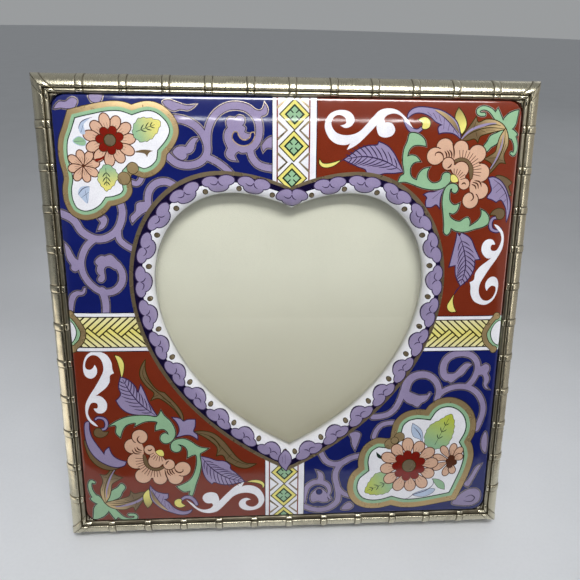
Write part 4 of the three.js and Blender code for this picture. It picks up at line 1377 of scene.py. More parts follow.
def paint_lower_right(art):
    """Blue quarter with the larger flower cartouche."""
    art.fill(polygon((4.9, -72), (72, -72), (72, -9.3), (4.9, -9.3)), "cobalt")
    paint_vine(art, [
        ribbon([(28, -32.4), (32.6, -31.7), (35.2, -29.7), (36.9, -26.4), (37.8, -23)], 1.8, 1.9),
        ribbon([(46.9, -24.2), (45.8, -26), (44, -27), (41.8, -27.2), (39.6, -26), (38.6, -23.6),
                (38.9, -20.8), (40.6, -18.4), (43.4, -17.4), (46.4, -17.9), (48.8, -20), (50, -23),
                (49.6, -26.4)], 0.7, 1.9, 3.0, 2.4, 2.0, 1.9),
        ribbon([(49.8, -25), (52.4, -23), (56.1, -21.9), (59.8, -22.2), (63.1, -24.2), (65.3, -27.5),
                (66, -30.8), (65.4, -34.2), (64.2, -37.6)], 1.8, 1.9),
        ribbon([(52.4, -18.6), (51.2, -17.2), (50.9, -14.6), (52, -11.9), (54.4, -10.4), (57.5, -10.1),
                (60.3, -11), (62.2, -13.2), (62.6, -16.2), (61.4, -19.6), (59.4, -22)], 2.4, 2.2, 1.9, 1.9),
        ribbon([(28.6, -39.8), (29.5, -37.2), (31.3, -35.3), (35, -34.6)], 1.5, 1.5),
        ribbon([(24.4, -46.6), (20.5, -47.7), (17.6, -49.7), (16, -52.4), (15.8, -55),
                (16.5, -58), (17, -61.4), (16.6, -64.4), (14.4, -66.6), (11.6, -67.6),
                (8.3, -67.3), (4.6, -65.6)], 1.7, 1.9, 1.8),
        ribbon([(10.4, -44.8), (12.3, -48.3), (14.7, -49.6), (17.3, -49.5), (20.4, -47.8)], 1.8, 1.8),
        ribbon([(16.6, -58.4), (18.7, -61), (21.4, -62.2)], 1.6, 1.5),
        ribbon([(4.8, -64), (5.3, -60.6), (6.3, -58), (8.4, -56.5), (10.8, -56.4), (13, -57.6),
                (13.9, -59.8), (13.5, -61.6), (14.3, -63.2)], 1.6, 1.7, 1.7, 0.6),
        form([(51.2, -18.2), (52.6, -17.3), (54.9, -17.1), (56.9, -14.9), (58.5, -13.6), (60.6, -14, 1),
              (59.2, -15.4), (57.9, -17.4), (56.1, -18.7), (53.9, -20.4), (52.5, -19.3)]),
        form([(62.4, -14.6), (63.9, -14.8), (65.3, -14), (66.7, -14.9), (66.8, -16.4), (66.2, -17.3, 1),
              (67.1, -19.1), (67, -20.4), (66.4, -21.8), (67.4, -23.2, 1), (66.1, -22.7), (65.3, -21.3),
              (65.4, -19.5), (64.6, -17.9), (63.5, -17.9), (62.5, -18.1)]),
        form([(38.5, -23.1), (40.1, -26.8), (43.1, -29), (44.7, -26.9), (47.4, -24.6, 1), (43.5, -24.9),
              (41.8, -24.3)]),
        form([(20.2, -38.6), (22.3, -37.7), (23.9, -38.5), (23.6, -40.4), (22.3, -44.6, 1), (21.2, -42.2),
              (20.9, -40)]),
        form([(9.2, -51.9, 1), (11.2, -53), (11.8, -55.2), (11, -56.8), (9.4, -56.4), (9.9, -54.2)]),
        form([(8, -60.4), (10.4, -58.8), (12.8, -60.6), (13.2, -62.6), (13.6, -64), (11.8, -64.4),
              (10, -63.8), (8, -64.2), (7.3, -62.4)]),
        form([(67.6, -39), (66.5, -42), (67, -45.4), (68.4, -47), (68.6, -41.6)]),
        form([(67.3, -51.4, 1), (66, -54), (64.6, -57.2), (63.1, -59.8), (61.6, -58.8), (62.8, -57.2),
              (64, -55.2), (65.4, -52.4)]),
        form([(58, -66.6), (59.6, -63.8), (62.7, -61.3), (66, -60.9), (67.9, -62.8), (67.6, -66),
              (65.3, -67.5), (61.2, -67.5)]),
        form([(18.4, -67.6), (19.4, -65.8), (21, -64.8), (22.4, -66.4), (21, -67.8)])
    ])
    art.cell(disc(10.3, -60.2, 0.9), "cobalt", "plum", 0.3)
    art.strokes("plum", 0.4, [(62.6, -64.2), (64.6, -63.4), (66, -64.6), (65, -66), (62, -65.6)])
    paint_cartouche(art, [
        (58.9, -64.9, 1), (61.2, -59), (63.1, -53.5), (64, -48), (63.4, -44.4), (62.4, -42.3, 1),
        (63.6, -39.2), (63.8, -35.4), (62.3, -31), (59, -27.5), (54.6, -25.8), (50.2, -26.4), (47.3, -28.4),
        (46, -30.2, 1), (42.6, -30), (38.5, -31.2), (35.6, -34.2), (34.6, -38.2), (34.2, -40.4),
        (29.7, -40.3), (26, -42.5), (24.2, -45.5), (23.6, -49), (23.8, -51.2, 1), (21.2, -54),
        (20.1, -58.3), (20.9, -62.3), (23.4, -65.6), (27.1, -67.3), (31.5, -67.5), (35.9, -66.4, 1),
        (40, -67.5), (45.1, -67.5), (51.7, -66.4)
    ], 2.05, 1.15, 0.4)
    for x, y, size in ((37.5, -40, 1.65), (34.4, -42.6, 1.85), (35.9, -41.3, 1.2)):
        art.cell(disc(x, y, size), "gold", "bark", 0.2)
    paint_two_tone_leaf(art, [
        (54.8, -31.9, 1), (51.1, -34.3), (48.1, -36.1), (46.6, -39.3), (47.1, -43.1), (50.5, -44.6),
        (53.7, -43.8), (55.8, -39.5), (56, -34.8)
    ], (50, -43.4), (54.2, -33.6), "lime", 16)
    paint_two_tone_leaf(art, [
        (26.3, -60.7, 1), (27.9, -56.9), (30.4, -53.8), (33.5, -54.1), (35.9, -58.1), (34.3, -61),
        (29.9, -61.8)
    ], (35, -57), (27.2, -60.2), "lime", 14)
    art.leaf(("sky", "plum", 0.14), [
        (41.8, -35.1, 1), (41.6, -37.8), (42.5, -40), (44.6, -41), (45.5, -42.3, 1), (45.6, -40),
        (45, -37.8), (43.6, -36.3)
    ])
    art.strokes("plum", 0.25, [(42.2, -36.4), (44.4, -39), (45.2, -41.4)])
    art.leaf("pine", [
        (29.7, -45.4, 1), (30.2, -47.4), (31.6, -48.2), (33.8, -48.1, 1), (31.8, -47.2), (30.6, -46.2)
    ])
    art.leaf(("mint", "pine", 0.16), [
        (50.1, -56.4, 1), (52.4, -56.8), (54.2, -58.2), (54.6, -60.6, 1), (52.4, -59.8), (51, -58)
    ])
    art.leaf(("sky", "plum", 0.14), [
        (43.4, -62.4), (46.2, -61), (49.5, -60.2), (51.2, -60.5), (49.9, -62.2), (46.9, -63.3)
    ])
    art.strokes("plum", 0.3, [
        (40.2, -64), (41.8, -63.8), (43.6, -62.4), (48, -60.8), (50.4, -58.6), (50.2, -56.4)
    ])
    petals = [(82, 1), (52, 0.95), (24, 0.7), (122, 1), (164, 1), (208, 1.05), (252, 0.95), (282, 0.8)]
    for turn, reach in petals:
        paint_petal(art, 56, -49.4, turn, 1.4 * reach, 6.4 * reach, 1.15)
    for x, y, size in ((56.2, -48.6, 1.3), (57.2, -50.2, 1.2), (55.8, -51.2, 1.2), (55.2, -49.6, 1)):
        art.fill(disc(x, y, size), "umber")
    for k in range(12):
        paint_petal(art, 41.4, -51, 30 * k + 6, 4, 10.1 + 0.4 * math.sin(2.7 * k), 1.85)
    paint_flower_heart(art, 41.4, -51, 4.2, 1.6, 9, 2.3)


# Panel surface: rolled outer edge, crowned field, rolled heart rim
EDGE_FOOT = 0.9
EDGE_ROLL = 0.55
EDGE_RISE = 1.36
EDGE_TURNS = range(0, 85, 3)
EDGE_BEVEL = 0.32
BEVEL_TILTS = (14.5, 10.5)
BEVEL_CUTS = 5
CROWN_WIDTH = 9.0
CROWN_CUTS = 20
SHEET_CLEARANCE = 0.4
FIELD_HALF = HALF - (LAND + LIP) - FIT_GAP
FIELD_CORNER = CORNER_RADIUS + FIT_GAP
FLANGE_HALF = HALF - LAND - SHEET_CLEARANCE
CORNER_STEPS = 10
STRUCTURE_INSETS = (0.0, 0.05, 0.15, 0.3, 0.5, 0.66, 0.82, 1.7, 3.2, 5.0, 7.5, 9.8)
RIM_TURNS = (0, 12, 24, 36, 48, 60, 70, 80, 90)
HEART_CENTRE = np.array([0.0, 4.0])
HEART_FINE_STEPS = 200
NUDGE = 0.05
WELD = 1e-4
GILT = ("gold", "wire", "bronze")


def edge_profile():
    """Inset from the panel's edge, height and the two parts of the normal along its profile."""
    foot = FLANGE_TOP + EDGE_FOOT
    rows = []
    for turn in np.radians(EDGE_TURNS):
        inset, height = EDGE_ROLL * (1 - math.cos(turn)), foot + EDGE_RISE * math.sin(turn)
        slope = np.array([EDGE_RISE * math.cos(turn), EDGE_ROLL * math.sin(turn)])
        rows.append((inset, height, *slope / np.linalg.norm(slope)))
    run = EDGE_BEVEL / BEVEL_CUTS
    for tilt in np.radians(np.linspace(*BEVEL_TILTS, BEVEL_CUTS)):
        inset, height = rows[-1][:2]
        rows.append((inset + run, height + run * math.tan(tilt), math.sin(tilt), math.cos(tilt)))
    start, low = rows[-1][:2]
    for share in np.linspace(1 / CROWN_CUTS, 1, CROWN_CUTS):
        fall = (PANEL_TOP - low) * (1 - share) ** 2
        slope = np.array([2 * (PANEL_TOP - low) * (1 - share) / CROWN_WIDTH, 1])
        rows.append((start + CROWN_WIDTH * share, PANEL_TOP - fall, *slope / np.linalg.norm(slope)))
    return np.array(rows).T


def edge_inset(spots):
    """How far each spot is inside the rounded square, and the way out."""
    wide, high = np.abs(spots[:, 0]), np.abs(spots[:, 1])
    both = wide + high
    root = np.sqrt(np.maximum(both**2 - 2 * (wide**2 + high**2 - FIELD_CORNER**2), 0))
    round_part = (both - root) / 2
    in_corner = round_part < np.minimum(wide, high)
    core = np.where(in_corner, round_part, np.maximum(wide, high) - FIELD_CORNER)
    way = np.column_stack([np.maximum(wide - core, 0), np.maximum(high - core, 0)])
    flat = np.where((wide > high)[:, None], [[1.0, 0.0]], [[0.0, 1.0]])
    way = np.where(in_corner[:, None], way, flat) * np.sign(spots)
    return FIELD_HALF - FIELD_CORNER - core, unit(way, TINY)


def heart_reach(grow):
    """Angles and distances of the heart outline about its centre."""
    outline = heart(grow, steps=HEART_FINE_STEPS) - HEART_CENTRE
    turns = np.arctan2(outline[:, 1], outline[:, 0])
    order = np.argsort(turns)
    turns, reach = turns[order], np.linalg.norm(outline, axis=1)[order]
    turns = np.concatenate([turns[-1:] - 2 * math.pi, turns, turns[:1] + 2 * math.pi])
    return turns, np.concatenate([reach[-1:], reach, reach[:1]])


def heart_growth(spots):
    """Which heart outline passes through each spot, as its growth from the opening."""
    near, far = heart_reach(0), heart_reach(RIM_ROLL)
    off = spots - HEART_CENTRE
    turn, reach = np.arctan2(off[:, 1], off[:, 0]), np.linalg.norm(off, axis=1)
    inner, outer = np.interp(turn, *near), np.interp(turn, *far)
    return RIM_ROLL * (reach - inner) / (outer - inner)


def panel_surface(spots):
    """Height and normal of the panel's front over each spot."""
    inset, way_out = edge_inset(spots)
    depth, height, sideways, upright = edge_profile()
    z = np.interp(inset, depth, height)
    leaning = way_out * np.interp(inset, depth, sideways)[:, None]
    normal = np.column_stack([leaning, np.interp(inset, depth, upright)])
    growth = heart_growth(spots)
    turn = np.arcsin(np.clip(1 - growth / RIM_ROLL, 0, 1))
    on_rim = growth < RIM_ROLL
    z = np.where(on_rim, PANEL_TOP - RIM_DROP * (1 - np.cos(turn)), z)
    nudges = ((NUDGE, 0), (0, NUDGE))
    uphill = unit(
        np.column_stack([heart_growth(spots + step) - heart_growth(spots - step) for step in nudges]), TINY
    )
    leaning = -uphill * (RIM_DROP * np.sin(turn))[:, None]
    rim_normal = unit(np.column_stack([leaning, RIM_ROLL * np.cos(turn)]))
    return z, np.where(on_rim[:, None], rim_normal, normal)


def rounded_square(half, radius):
    points = []
    for corner, side in enumerate(((1, 1), (-1, 1), (-1, -1), (1, -1))):
        for turn in np.radians(90 * corner + 90 * np.arange(CORNER_STEPS + 1) / CORNER_STEPS):
            way = np.array([math.cos(turn), math.sin(turn)])
            points.append(np.array(side) * (half - radius) + radius * way)
    return np.array(points)


def inside(outline, spots):
    """Which spots an outline winds around."""
    x, y = spots[:, 0][:, None], spots[:, 1][:, None]
    x0, y0 = outline.T
    x1, y1 = np.roll(outline, -1, axis=0).T
    turn = (x1 - x0) * (y - y0) - (x - x0) * (y1 - y0)
    up = (y0 <= y) & (y1 > y) & (turn > 0)
    down = (y0 > y) & (y1 <= y) & (turn < 0)
    return up.sum(axis=1) != down.sum(axis=1)


def cut_up(outlines):
    """Triangles of the plane cut along all outlines."""
    spots, edges = [], []
    for outline in outlines:
        first = len(spots)
        spots += [Vector(spot) for spot in outline]
        edges += [(first + i, first + (i + 1) % len(outline)) for i in range(len(outline))]
    found = delaunay_2d_cdt(spots, edges, [], 0, WELD, False)
    return np.array([tuple(spot) for spot in found[0]]), np.array([tuple(face) for face in found[2]])


def structure_lines():
    """Rounded squares and hearts that let the surface bend where it should."""
    squares = [rounded_square(FIELD_HALF - inset, FIELD_CORNER) for inset in STRUCTURE_INSETS]
    return squares, [heart(RIM_ROLL * (1 - math.sin(turn))) for turn in np.radians(RIM_TURNS)]


def tint_colours(tint, palette, spots):
    if isinstance(tint, str):
        return np.repeat([palette[tint]], len(spots), axis=0)
    first, second, start, end = tint
    run = np.array(end, float) - start
    share = np.clip((spots - np.array(start)) @ run / (run @ run), 0, 1)[:, None]
    return (1 - share) * palette[first] + share * palette[second]


def paint_panel(enamel):
    """All painted areas in the order in which they are laid down."""
    art = Painting(enamel.line / MM)
    paint_upper_left(art)
    paint_upper_right(art)
    paint_lower_left(art)
    paint_lower_right(art)
    paint_strips(art)
    paint_heart_border(art)
    return art.areas


def painted_faces(areas):
    """Spots and faces of the panel's front, and the last area that is painted over each face."""
    squares, hearts = structure_lines()
    spots, faces = cut_up([outline for outline, _ in areas] + squares + hearts)
    middles = spots[faces].mean(axis=1)
    keep = inside(squares[0], middles) & ~inside(hearts[-1], middles)
    faces, middles = faces[keep], middles[keep]
    used, numbers = np.unique(faces, return_inverse=True)
    paint = np.full(len(faces), -1)
    for number, (outline, _) in enumerate(areas):
        low, high = outline.min(axis=0), outline.max(axis=0)
        near = np.flatnonzero(np.all((middles >= low) & (middles <= high), axis=1))
        paint[near[inside(outline, middles[near])]] = number
    return spots[used], numbers.reshape(faces.shape), paint


def corner_paint(spots, faces, paint, areas, palette):
    """Colour and gilding of every corner of every face."""
    tints = np.repeat(palette["white"][None], faces.size, axis=0)
    gilding = np.zeros(faces.size)
    places = spots[faces.ravel()]
    for number in np.unique(paint[paint >= 0]):
        tint = areas[number][1]
        corners = np.flatnonzero(np.repeat(paint == number, 3))
        tints[corners] = tint_colours(tint, palette, places[corners])
        gilding[corners] = tint in GILT
    return tints, gilding


def panel_mesh(name, points, faces, tints, gilding, blank):
    """Front, walls, flange and back of the panel as one closed mesh with its painted colours."""
    shape = bmesh.new()
    front = [shape.verts.new(point) for point in points]
    tint_layer = shape.loops.layers.float_color.new("glaze")
    gilt_layer = shape.loops.layers.float_color.new("gilding")
    for number, face in enumerate(faces):
        made = shape.faces.new([front[i] for i in face])
        for corner, loop in enumerate(made.loops, 3 * number):
            loop[tint_layer] = rgba(tints[corner])
            loop[gilt_layer] = rgba([gilding[corner]] * 3)
    for face in close_panel(shape):
        for loop in face.loops:
            loop[tint_layer] = rgba(blank)
    shape.verts.index_update()
    mesh = bpy.data.meshes.new(name)
    shape.to_mesh(mesh)
    shape.free()
    return mesh


def lay_out_plan(mesh):
    """Bake layout of the panel as it is drawn."""
    drawn = np.zeros(len(mesh.vertices) * 3)
    mesh.vertices.foreach_get("co", drawn)
    corners = np.zeros(len(mesh.loops), int)
    mesh.loops.foreach_get("vertex_index", corners)
    plan = drawn.reshape(-1, 3)[corners, :2] / (2 * HALF) + 0.5
    mesh.uv_layers.new(name="OFBake").data.foreach_set("uv", plan.ravel())


def set_front_normals(mesh, normals):
    """Smooth normals of the surface itself on the front, and the mesh's own ones elsewhere."""
    facing = np.zeros(len(mesh.vertices) * 3)
    mesh.vertices.foreach_get("normal", facing)
    facing = facing.reshape(-1, 3)
    facing[: len(normals)] = normals @ np.array(PLACE.to_3x3().normalized()).T
    mesh.normals_split_custom_set_from_vertices([tuple(normal) for normal in facing])


def make_panel(enamel):
    tints = [name for name in EnamelSettings.__annotations__ if name != "line"]
    palette = {name: np.array(getattr(enamel, name)) for name in tints}
    areas = paint_panel(enamel)
    spots, faces, paint = painted_faces(areas)
    heights, normals = panel_surface(spots)
    painted = corner_paint(spots, faces, paint, areas, palette)
    name = "enamel_panel_painted"
    mesh = panel_mesh(name, np.column_stack([spots, heights]), faces, *painted, palette["white"])
    lay_out_plan(mesh)
    mesh.transform(PLACE)
    mesh.shade_smooth()
    mesh.materials.append(glaze_material())
    set_front_normals(mesh, normals)
    place_piece(name, mesh, "frame", "enamel_panel")


def close_panel(shape):
    """Adds the walls below both rims, the flange and the back, and returns the new faces in a set order."""
    outer, inner = [], []
    for edge in [edge for edge in shape.edges if edge.is_boundary]:
        spot = edge.verts[0].co
        (outer if max(abs(spot.x), abs(spot.y)) > FIELD_HALF - CROWN_WIDTH else inner).append(edge)
    before = set(shape.faces)

    def extend(edges, grow=1.0, level=None):
        """New boundary edges after pulling edges outwards by a factor, or down to a level."""
        made = bmesh.ops.extrude_edge_only(shape, edges=edges)["geom"]
        for vert in (item for item in made if isinstance(item, bmesh.types.BMVert)):
            vert.co.x *= grow
            vert.co.y *= grow
            vert.co.z = vert.co.z if level is None else level
        return [item for item in made if isinstance(item, bmesh.types.BMEdge) and item.is_boundary]

    foot = extend(outer, level=FLANGE_TOP)
    flange = extend(foot, grow=FLANGE_HALF / FIELD_HALF)
    back_edges = extend(flange, level=PANEL_BACK) + extend(inner, level=PANEL_BACK)
    bmesh.ops.triangle_fill(shape, edges=back_edges, use_beauty=True)
    added = [face for face in shape.faces if face not in before]
    bmesh.ops.recalc_face_normals(shape, faces=shape.faces)
    shape.faces.index_update()
    added.sort(key=lambda face: tuple(face.calc_center_median()))
    for number, face in enumerate(added, len(before)):
        face.index = number
    shape.faces.sort()
    return added


GLAZE_SHADE = (0.72, 0.7, 0.74, 1)
GLAZE_ROUGHNESS = (0.05, 0.12)
GILT_ROUGHNESS = (0.24, 0.36)
GILT_METAL = 0.62
GLAZE_IOR = 1.58


def glaze_material():
    """Glossy enamel that reads its painted colours, with gilded lines."""
    material, tree, shader = new_material("painted_glaze")
    painted = attribute(tree, "glaze", "Color")
    gilding = attribute(tree, "gilding")
    deeper = blend_colours(tree, 1.0, painted, GLAZE_SHADE, "MULTIPLY")
    sizes = {"Patch_scale": 140.0, "Speck_scale": 3200.0, "Patches": 0.3, "Specks": 0.35}
    fired = effect(tree, "mottle", Colour=painted, Second=deeper, **sizes)
    ripple = effect(tree, "grain", Scale=260.0, Detail=2.0, Strength=0.06, Depth=0.0003)
    dull = span(tree, ripple["Value"], *NOISE_RANGE, *GILT_ROUGHNESS)
    gloss = span(tree, ripple["Value"], *NOISE_RANGE, *GLAZE_ROUGHNESS)
    rough = node(tree, "ShaderNodeMix", {0: gilding, 2: gloss, 3: dull}, data_type="FLOAT").outputs[0]
    lustre = maths(tree, "MULTIPLY", gilding, GILT_METAL)
    shader.inputs["IOR"].default_value = GLAZE_IOR
    feed(
        tree, shader, Base_Color=fired["Colour"], Metallic=lustre, Roughness=rough, Normal=ripple["Normal"]
    )
    return material


# Softened copies of CAD nodes
FLAT_ANGLE = math.radians(2)
SHARP_ANGLE = math.radians(28)
CREASE_ANGLE = math.radians(38)
DOUBLES = 1e-6
BROAD = 4


def softened(name, node_name, body, material, reach, steps=2):
    """Copy of a CAD node with rounded edges, worn where it is rounded."""
    shape = bmesh.new()
    shape.from_mesh(frame["nodes"][node_name].data)
    bmesh.ops.remove_doubles(shape, verts=shape.verts, dist=DOUBLES)
    bmesh.ops.dissolve_limit(shape, angle_limit=FLAT_ANGLE, verts=shape.verts, edges=shape.edges)
    wear = shape.verts.layers.float.new("wear")
    sharp = [edge for edge in shape.edges if edge.is_manifold and edge.calc_face_angle(0) > SHARP_ANGLE]
    rounding = {"offset": reach, "offset_type": "OFFSET", "segments": steps, "profile": 0.5}
    worn = bmesh.ops.bevel(shape, geom=sharp, affect="EDGES", clamp_overlap=True, **rounding)["verts"]
    for vert in worn:
        vert[wear] = 1.0
    mesh = bpy.data.meshes.new(name)
    shape.to_mesh(mesh)
    shape.free()
    mesh.materials.clear()
    mesh.materials.append(material)
    mesh.shade_smooth()
    mesh.set_sharp_from_angle(angle=CREASE_ANGLE)
    facing = np.zeros((len(mesh.loops), 3))
    for face in mesh.polygons:
        broad = face.area > (BROAD * reach) ** 2
        for loop in face.loop_indices:
            facing[loop] = face.normal if broad else mesh.corner_normals[loop].vector
    mesh.normals_split_custom_set(facing.tolist())
    place_piece(name, mesh, body, node_name)


# Glass and card
GLASS_ARRIS = 0.25 * MM
GLASS_IOR = 1.45
GLASS_SMEAR = (0.4, 0.75, 0.0, 0.06)
CARD_ARRIS = 0.08 * MM
CARD_ROUGHNESS = (0.72, 0.9)
CARD_WARMTH = 0.9
# Heights over which the card darkens from browning and painted shade
STAIN_AND_SHADE_HEIGHTS = (0.092, 0.04, 0.0, 0.75)


def glass_material(glazing):
    """Clear glass that lets soft light and shadows straight through."""
    glass, tree, shader = new_material("float_glass")
    tint = rgba(glazing.glass)
    smear = effect(tree, "grain", Scale=40.0, Detail=3.0, Strength=0.02, Depth=0.0005)
    feed(tree, shader, Base_Color=tint, Transmission_Weight=1.0, IOR=GLASS_IOR)
    feed(tree, shader, Roughness=span(tree, smear["Value"], *GLASS_SMEAR), Normal=smear["Normal"])
    clear = node(tree, "ShaderNodeBsdfTransparent", {0: tint})
    light = node(tree, "ShaderNodeLightPath").outputs
    soft = maths(tree, "MAXIMUM", light["Is Shadow Ray"], light["Is Diffuse Ray"])
    mix = node(tree, "ShaderNodeMixShader", {0: soft})
    tree.links.new(shader.outputs[0], mix.inputs[1])
    tree.links.new(clear.outputs[0], mix.inputs[2])
    tree.links.new(mix.outputs[0], tree.nodes["Material Output"].inputs["Surface"])
    return glass


def card_material(glazing):
    """Cream card that is browner and darker lower down, from browning and painted shade."""
    card, tree, shader = new_material("cream_card")
    warm = tuple(CARD_WARMTH * value for value in glazing.card)
    sizes = {"Patch_scale": 35.0, "Speck_scale": 1800.0, "Patches": 0.55, "Specks": 0.4}
    pulp = effect(tree, "mottle", Colour=rgba(glazing.card), Second=rgba(warm), **sizes)
    height = node(tree, "ShaderNodeSeparateXYZ", {0: object_place(tree)}).outputs["Z"]
    stained_and_shaded = span(tree, height, *STAIN_AND_SHADE_HEIGHTS)
    aged_and_shaded = blend_colours(tree, stained_and_shaded, pulp["Colour"], rgba(glazing.stain))
    fibre = {"Scale": 1600.0, "Detail": 4.0, "Strength": 0.25, "Depth": 0.00005}
    matte_finish(tree, shader, aged_and_shaded, CARD_ROUGHNESS, **fibre)
    return card


def make_glazing(glazing):
    softened("glass_pane_ground", "glass_pane", "frame", glass_material(glazing), GLASS_ARRIS, 1)
    softened("picture_card_cut", "picture_card", "frame", card_material(glazing), CARD_ARRIS, 1)


# Velvet board and strut
VELVET_ROUGHNESS = (0.85, 1.0)
VELVET_SHEEN = 0.55
SHEEN_ROUGHNESS = 0.4


def make_back(back):
    velvet, tree, shader = new_material("velvet_pile")
    sizes = {"Patch_scale": 55.0, "Speck_scale": 5200.0, "Patches": 0.4, "Specks": 0.5}
    pile = effect(tree, "mottle", Colour=rgba(back.velvet), Second=rgba(back.nap), **sizes)
    tuft = {"Scale": 5200.0, "Detail": 2.0, "Strength": 0.5, "Depth": 0.0002}
    matte_finish(tree, shader, pile["Colour"], VELVET_ROUGHNESS, **tuft)
    feed(tree, shader, Sheen_Weight=VELVET_SHEEN, Sheen_Roughness=SHEEN_ROUGHNESS)
    softened("back_board_velvet", "back_board", "frame", velvet, back.soft_edge, 3)
    softened("easel_strut_velvet", "easel_strut", "strut", velvet, back.soft_edge, 3)


# Brass hinge, rivets, turn buttons and screws
BRUSHING = (0.06, 1.0, 1.0)


def brass_material(hardware, name, stains):
    brushed = {"Scale": 2600.0, "Stretch": BRUSHING, "Detail": 3.0, "Strength": 0.25, "Depth": 0.00005}
    patina = {"Stains": stains, "Smooth": 0.26, "Rough": 0.5}
    return metal_material(name, hardware.brass, hardware.dull_brass, "wear", brushed, **patina)


def make_hinge(hardware):
    brass = brass_material(hardware, "hinge_brass", 0.45)
    pieces = {
        "hinge_fixed_leaf": "frame", "hinge_moving_leaf": "strut", "hinge_pin": "frame",
        "board_rivet_left": "frame", "board_rivet_right": "frame",
        "strut_rivet_left": "strut", "strut_rivet_right": "strut",
    }
    for name, body in pieces.items():
        softened(f"{name}_brass", name, body, brass, hardware.soft_edge)


def make_buttons(hardware):
    plate = brass_material(hardware, "button_brass", 0.35)
    screw = brass_material(hardware, "screw_brass", 0.6)
    for height in ("upper", "lower"):
        for side in ("left", "right"):
            button, fixing = f"turn_button_{height}_{side}", f"button_screw_{height}_{side}"
            softened(f"{button}_brass", button, button, plate, hardware.soft_edge)
            softened(f"{fixing}_brass", fixing, "frame", screw, hardware.soft_edge)


# Stage
CAMERA_EYE = (-10.6, 50.5, 176.6)
CAMERA_AIM = (-0.4, 11.8, 10.8)
SENSOR_WIDTH = 36.0
CLIP_START = 0.005
KEY_SPOT = (30, 255, 300)
KEY_AIM = (0, 95, 10)
KEY_SIZE = (0.34, 0.06)
KEY_SPREAD = 56
STRIP_FROM = (-68, 111, 258)
STRIP_TO = (118, 111, 258)
STRIP_AIM = (20, 40, 0)
STRIP_HIGH = 0.005

# The rest of the stage in metres of the row frame
BACK_SPOT = (0.6, 0.55, 0.5)
BACK_AIM = (0, 0, 0.08)
BACK_SIZE = (0.5, 0.4)
FRONT_SPOT = (0, -0.32, 0.6)
FRONT_AIM = (0, -0.28, 0)
FRONT_SIZE = (0.5, 0.2)
FRONT_SPREAD = 70
SIDE_SPOT = (0.55, -0.12, 0.3)
SIDE_AIM = (0, 0, 0.06)
SIDE_SIZE = (0.3, 0.4)
SIDE_SHARES = {-1: 0.15, 1: 1}
FLOOR_REACH = 4.0
FLOOR_SIDES = 96
FLOOR_DROP = 0.0002
# Painted shade: depths over which the floor darkens behind the frame, and how dark it ends
FLOOR_SHADE_FADE = (-0.05, 0.12)
FLOOR_FAR_SHADE = 0.72
FLOOR_SHADE = (0.94, 0.94, 0.94, 1)
FLOOR_ROUGHNESS = (0.75, 0.95)
ROOM_TINT = (0.95, 0.98, 1.0, 1)
ROOM_DEPTH = (-0.7, 0.8, 0.15, 0.34)
ROOM_RISE = (0.2, 0.9, 0.0, 0.06)
ROOF_RISE = (0.45, 0.75, 0.0, 0.5)
ROOF_DEPTH = (-0.25, -0.55)
CARD_MOTTLE = {"Patch_scale": 20.0, "Speck_scale": 500.0, "Patches": 0.5, "Specks": 0.3}
GLOW_EDGES = ((0.12, 0.0005), (0.34, 0.2))
GLOW_CARDS = [("left_glow", -1, (-0.1, 0.01), 1.4, 0.3), ("right_glow", 1, (-0.3, 0.2), 0.36, 1.0)]
EDGE_GLOW = ((0.18, -0.122, 0.004), (0.183, -0.08, 0.18))
EDGE_GLOW_HALF = (0.004, 0.0044, 0)
EDGE_GLOW_STRENGTH = 5.0
DARK_CARD_HALF = 0.17
DARK_CARD_EDGES = ((-0.105, 0.002), (-0.2, 0.21))
DARK_CARD_ROUGHNESS = (0.85, 0.95)
DARK_CARD_PATCH = 0.7


def area_lamp(name, spot, aim, size, watts, spread=180):
    """Soft rectangular lamp that shines from spot to aim, both in the row frame."""
    data = bpy.data.lights.new(name, "AREA")
    data.shape = "RECTANGLE"
    data.size, data.size_y = size
    data.energy = watts
    data.spread = math.radians(spread)
    lamp = add_object(name, data)
    lamp.location = spot
    lamp.rotation_euler = (Vector(aim) - Vector(spot)).to_track_quat("-Z", "Y").to_euler()


def room_world():
    """Room that is dim in front of the picture, paler behind it and palest over the viewer."""
    world = bpy.data.worlds.new("soft_room")
    world.use_nodes = True
    tree = world.node_tree
    place = node(tree, "ShaderNodeTexCoord").outputs["Generated"]
    way = node(tree, "ShaderNodeSeparateXYZ", {0: place}).outputs
    rise = span(tree, way["Z"], *ROOM_RISE)
    roof = maths(tree, "MULTIPLY", span(tree, way["Z"], *ROOF_RISE), span(tree, way["Y"], *ROOF_DEPTH))
    level = maths(tree, "ADD", span(tree, way["Y"], *ROOM_DEPTH), maths(tree, "ADD", rise, roof))
    feed(tree, tree.nodes["Background"], Strength=level, Color=ROOM_TINT)
    return world


def add_sheet(name, shape, paint):
    """Flat piece of the stage."""
    mesh = bpy.data.meshes.new(name)
    shape.to_mesh(mesh)
    shape.free()
    mesh.materials.append(paint)
    sheet = add_object(name, mesh)
    return sheet


def add_gloss_card(name, corners, paint):
    """Card that only gloss can see."""
    shape = bmesh.new()
    shape.faces.new([shape.verts.new(corner) for corner in corners])
    card = add_sheet(name, shape, paint)
    card.visible_camera = card.visible_diffuse = card.visible_shadow = card.visible_transmission = False


def add_dark_card(stage):
    """Dark slope behind the camera, painted shade that only reflections see, so that flat glaze and gilding
    stay deep.
    """
    paint, tree, shader = new_material("dark_card")
    deep = tuple(DARK_CARD_PATCH * value for value in stage.dark)
    felt = effect(tree, "mottle", Colour=rgba(stage.dark), Second=rgba(deep), **CARD_MOTTLE)
    nap = effect(tree, "grain", Scale=600.0, Detail=2.0, Strength=0.2, Depth=0.0002)
    uneven = span(tree, nap["Value"], *NOISE_RANGE, *DARK_CARD_ROUGHNESS)
    feed(tree, shader, Base_Color=felt["Colour"], Roughness=uneven)
    near, far = DARK_CARD_EDGES
    corners = [(-1, near), (1, near), (1, far), (-1, far)]
    add_gloss_card("dark_card", [(side * DARK_CARD_HALF, *edge) for side, edge in corners], paint)


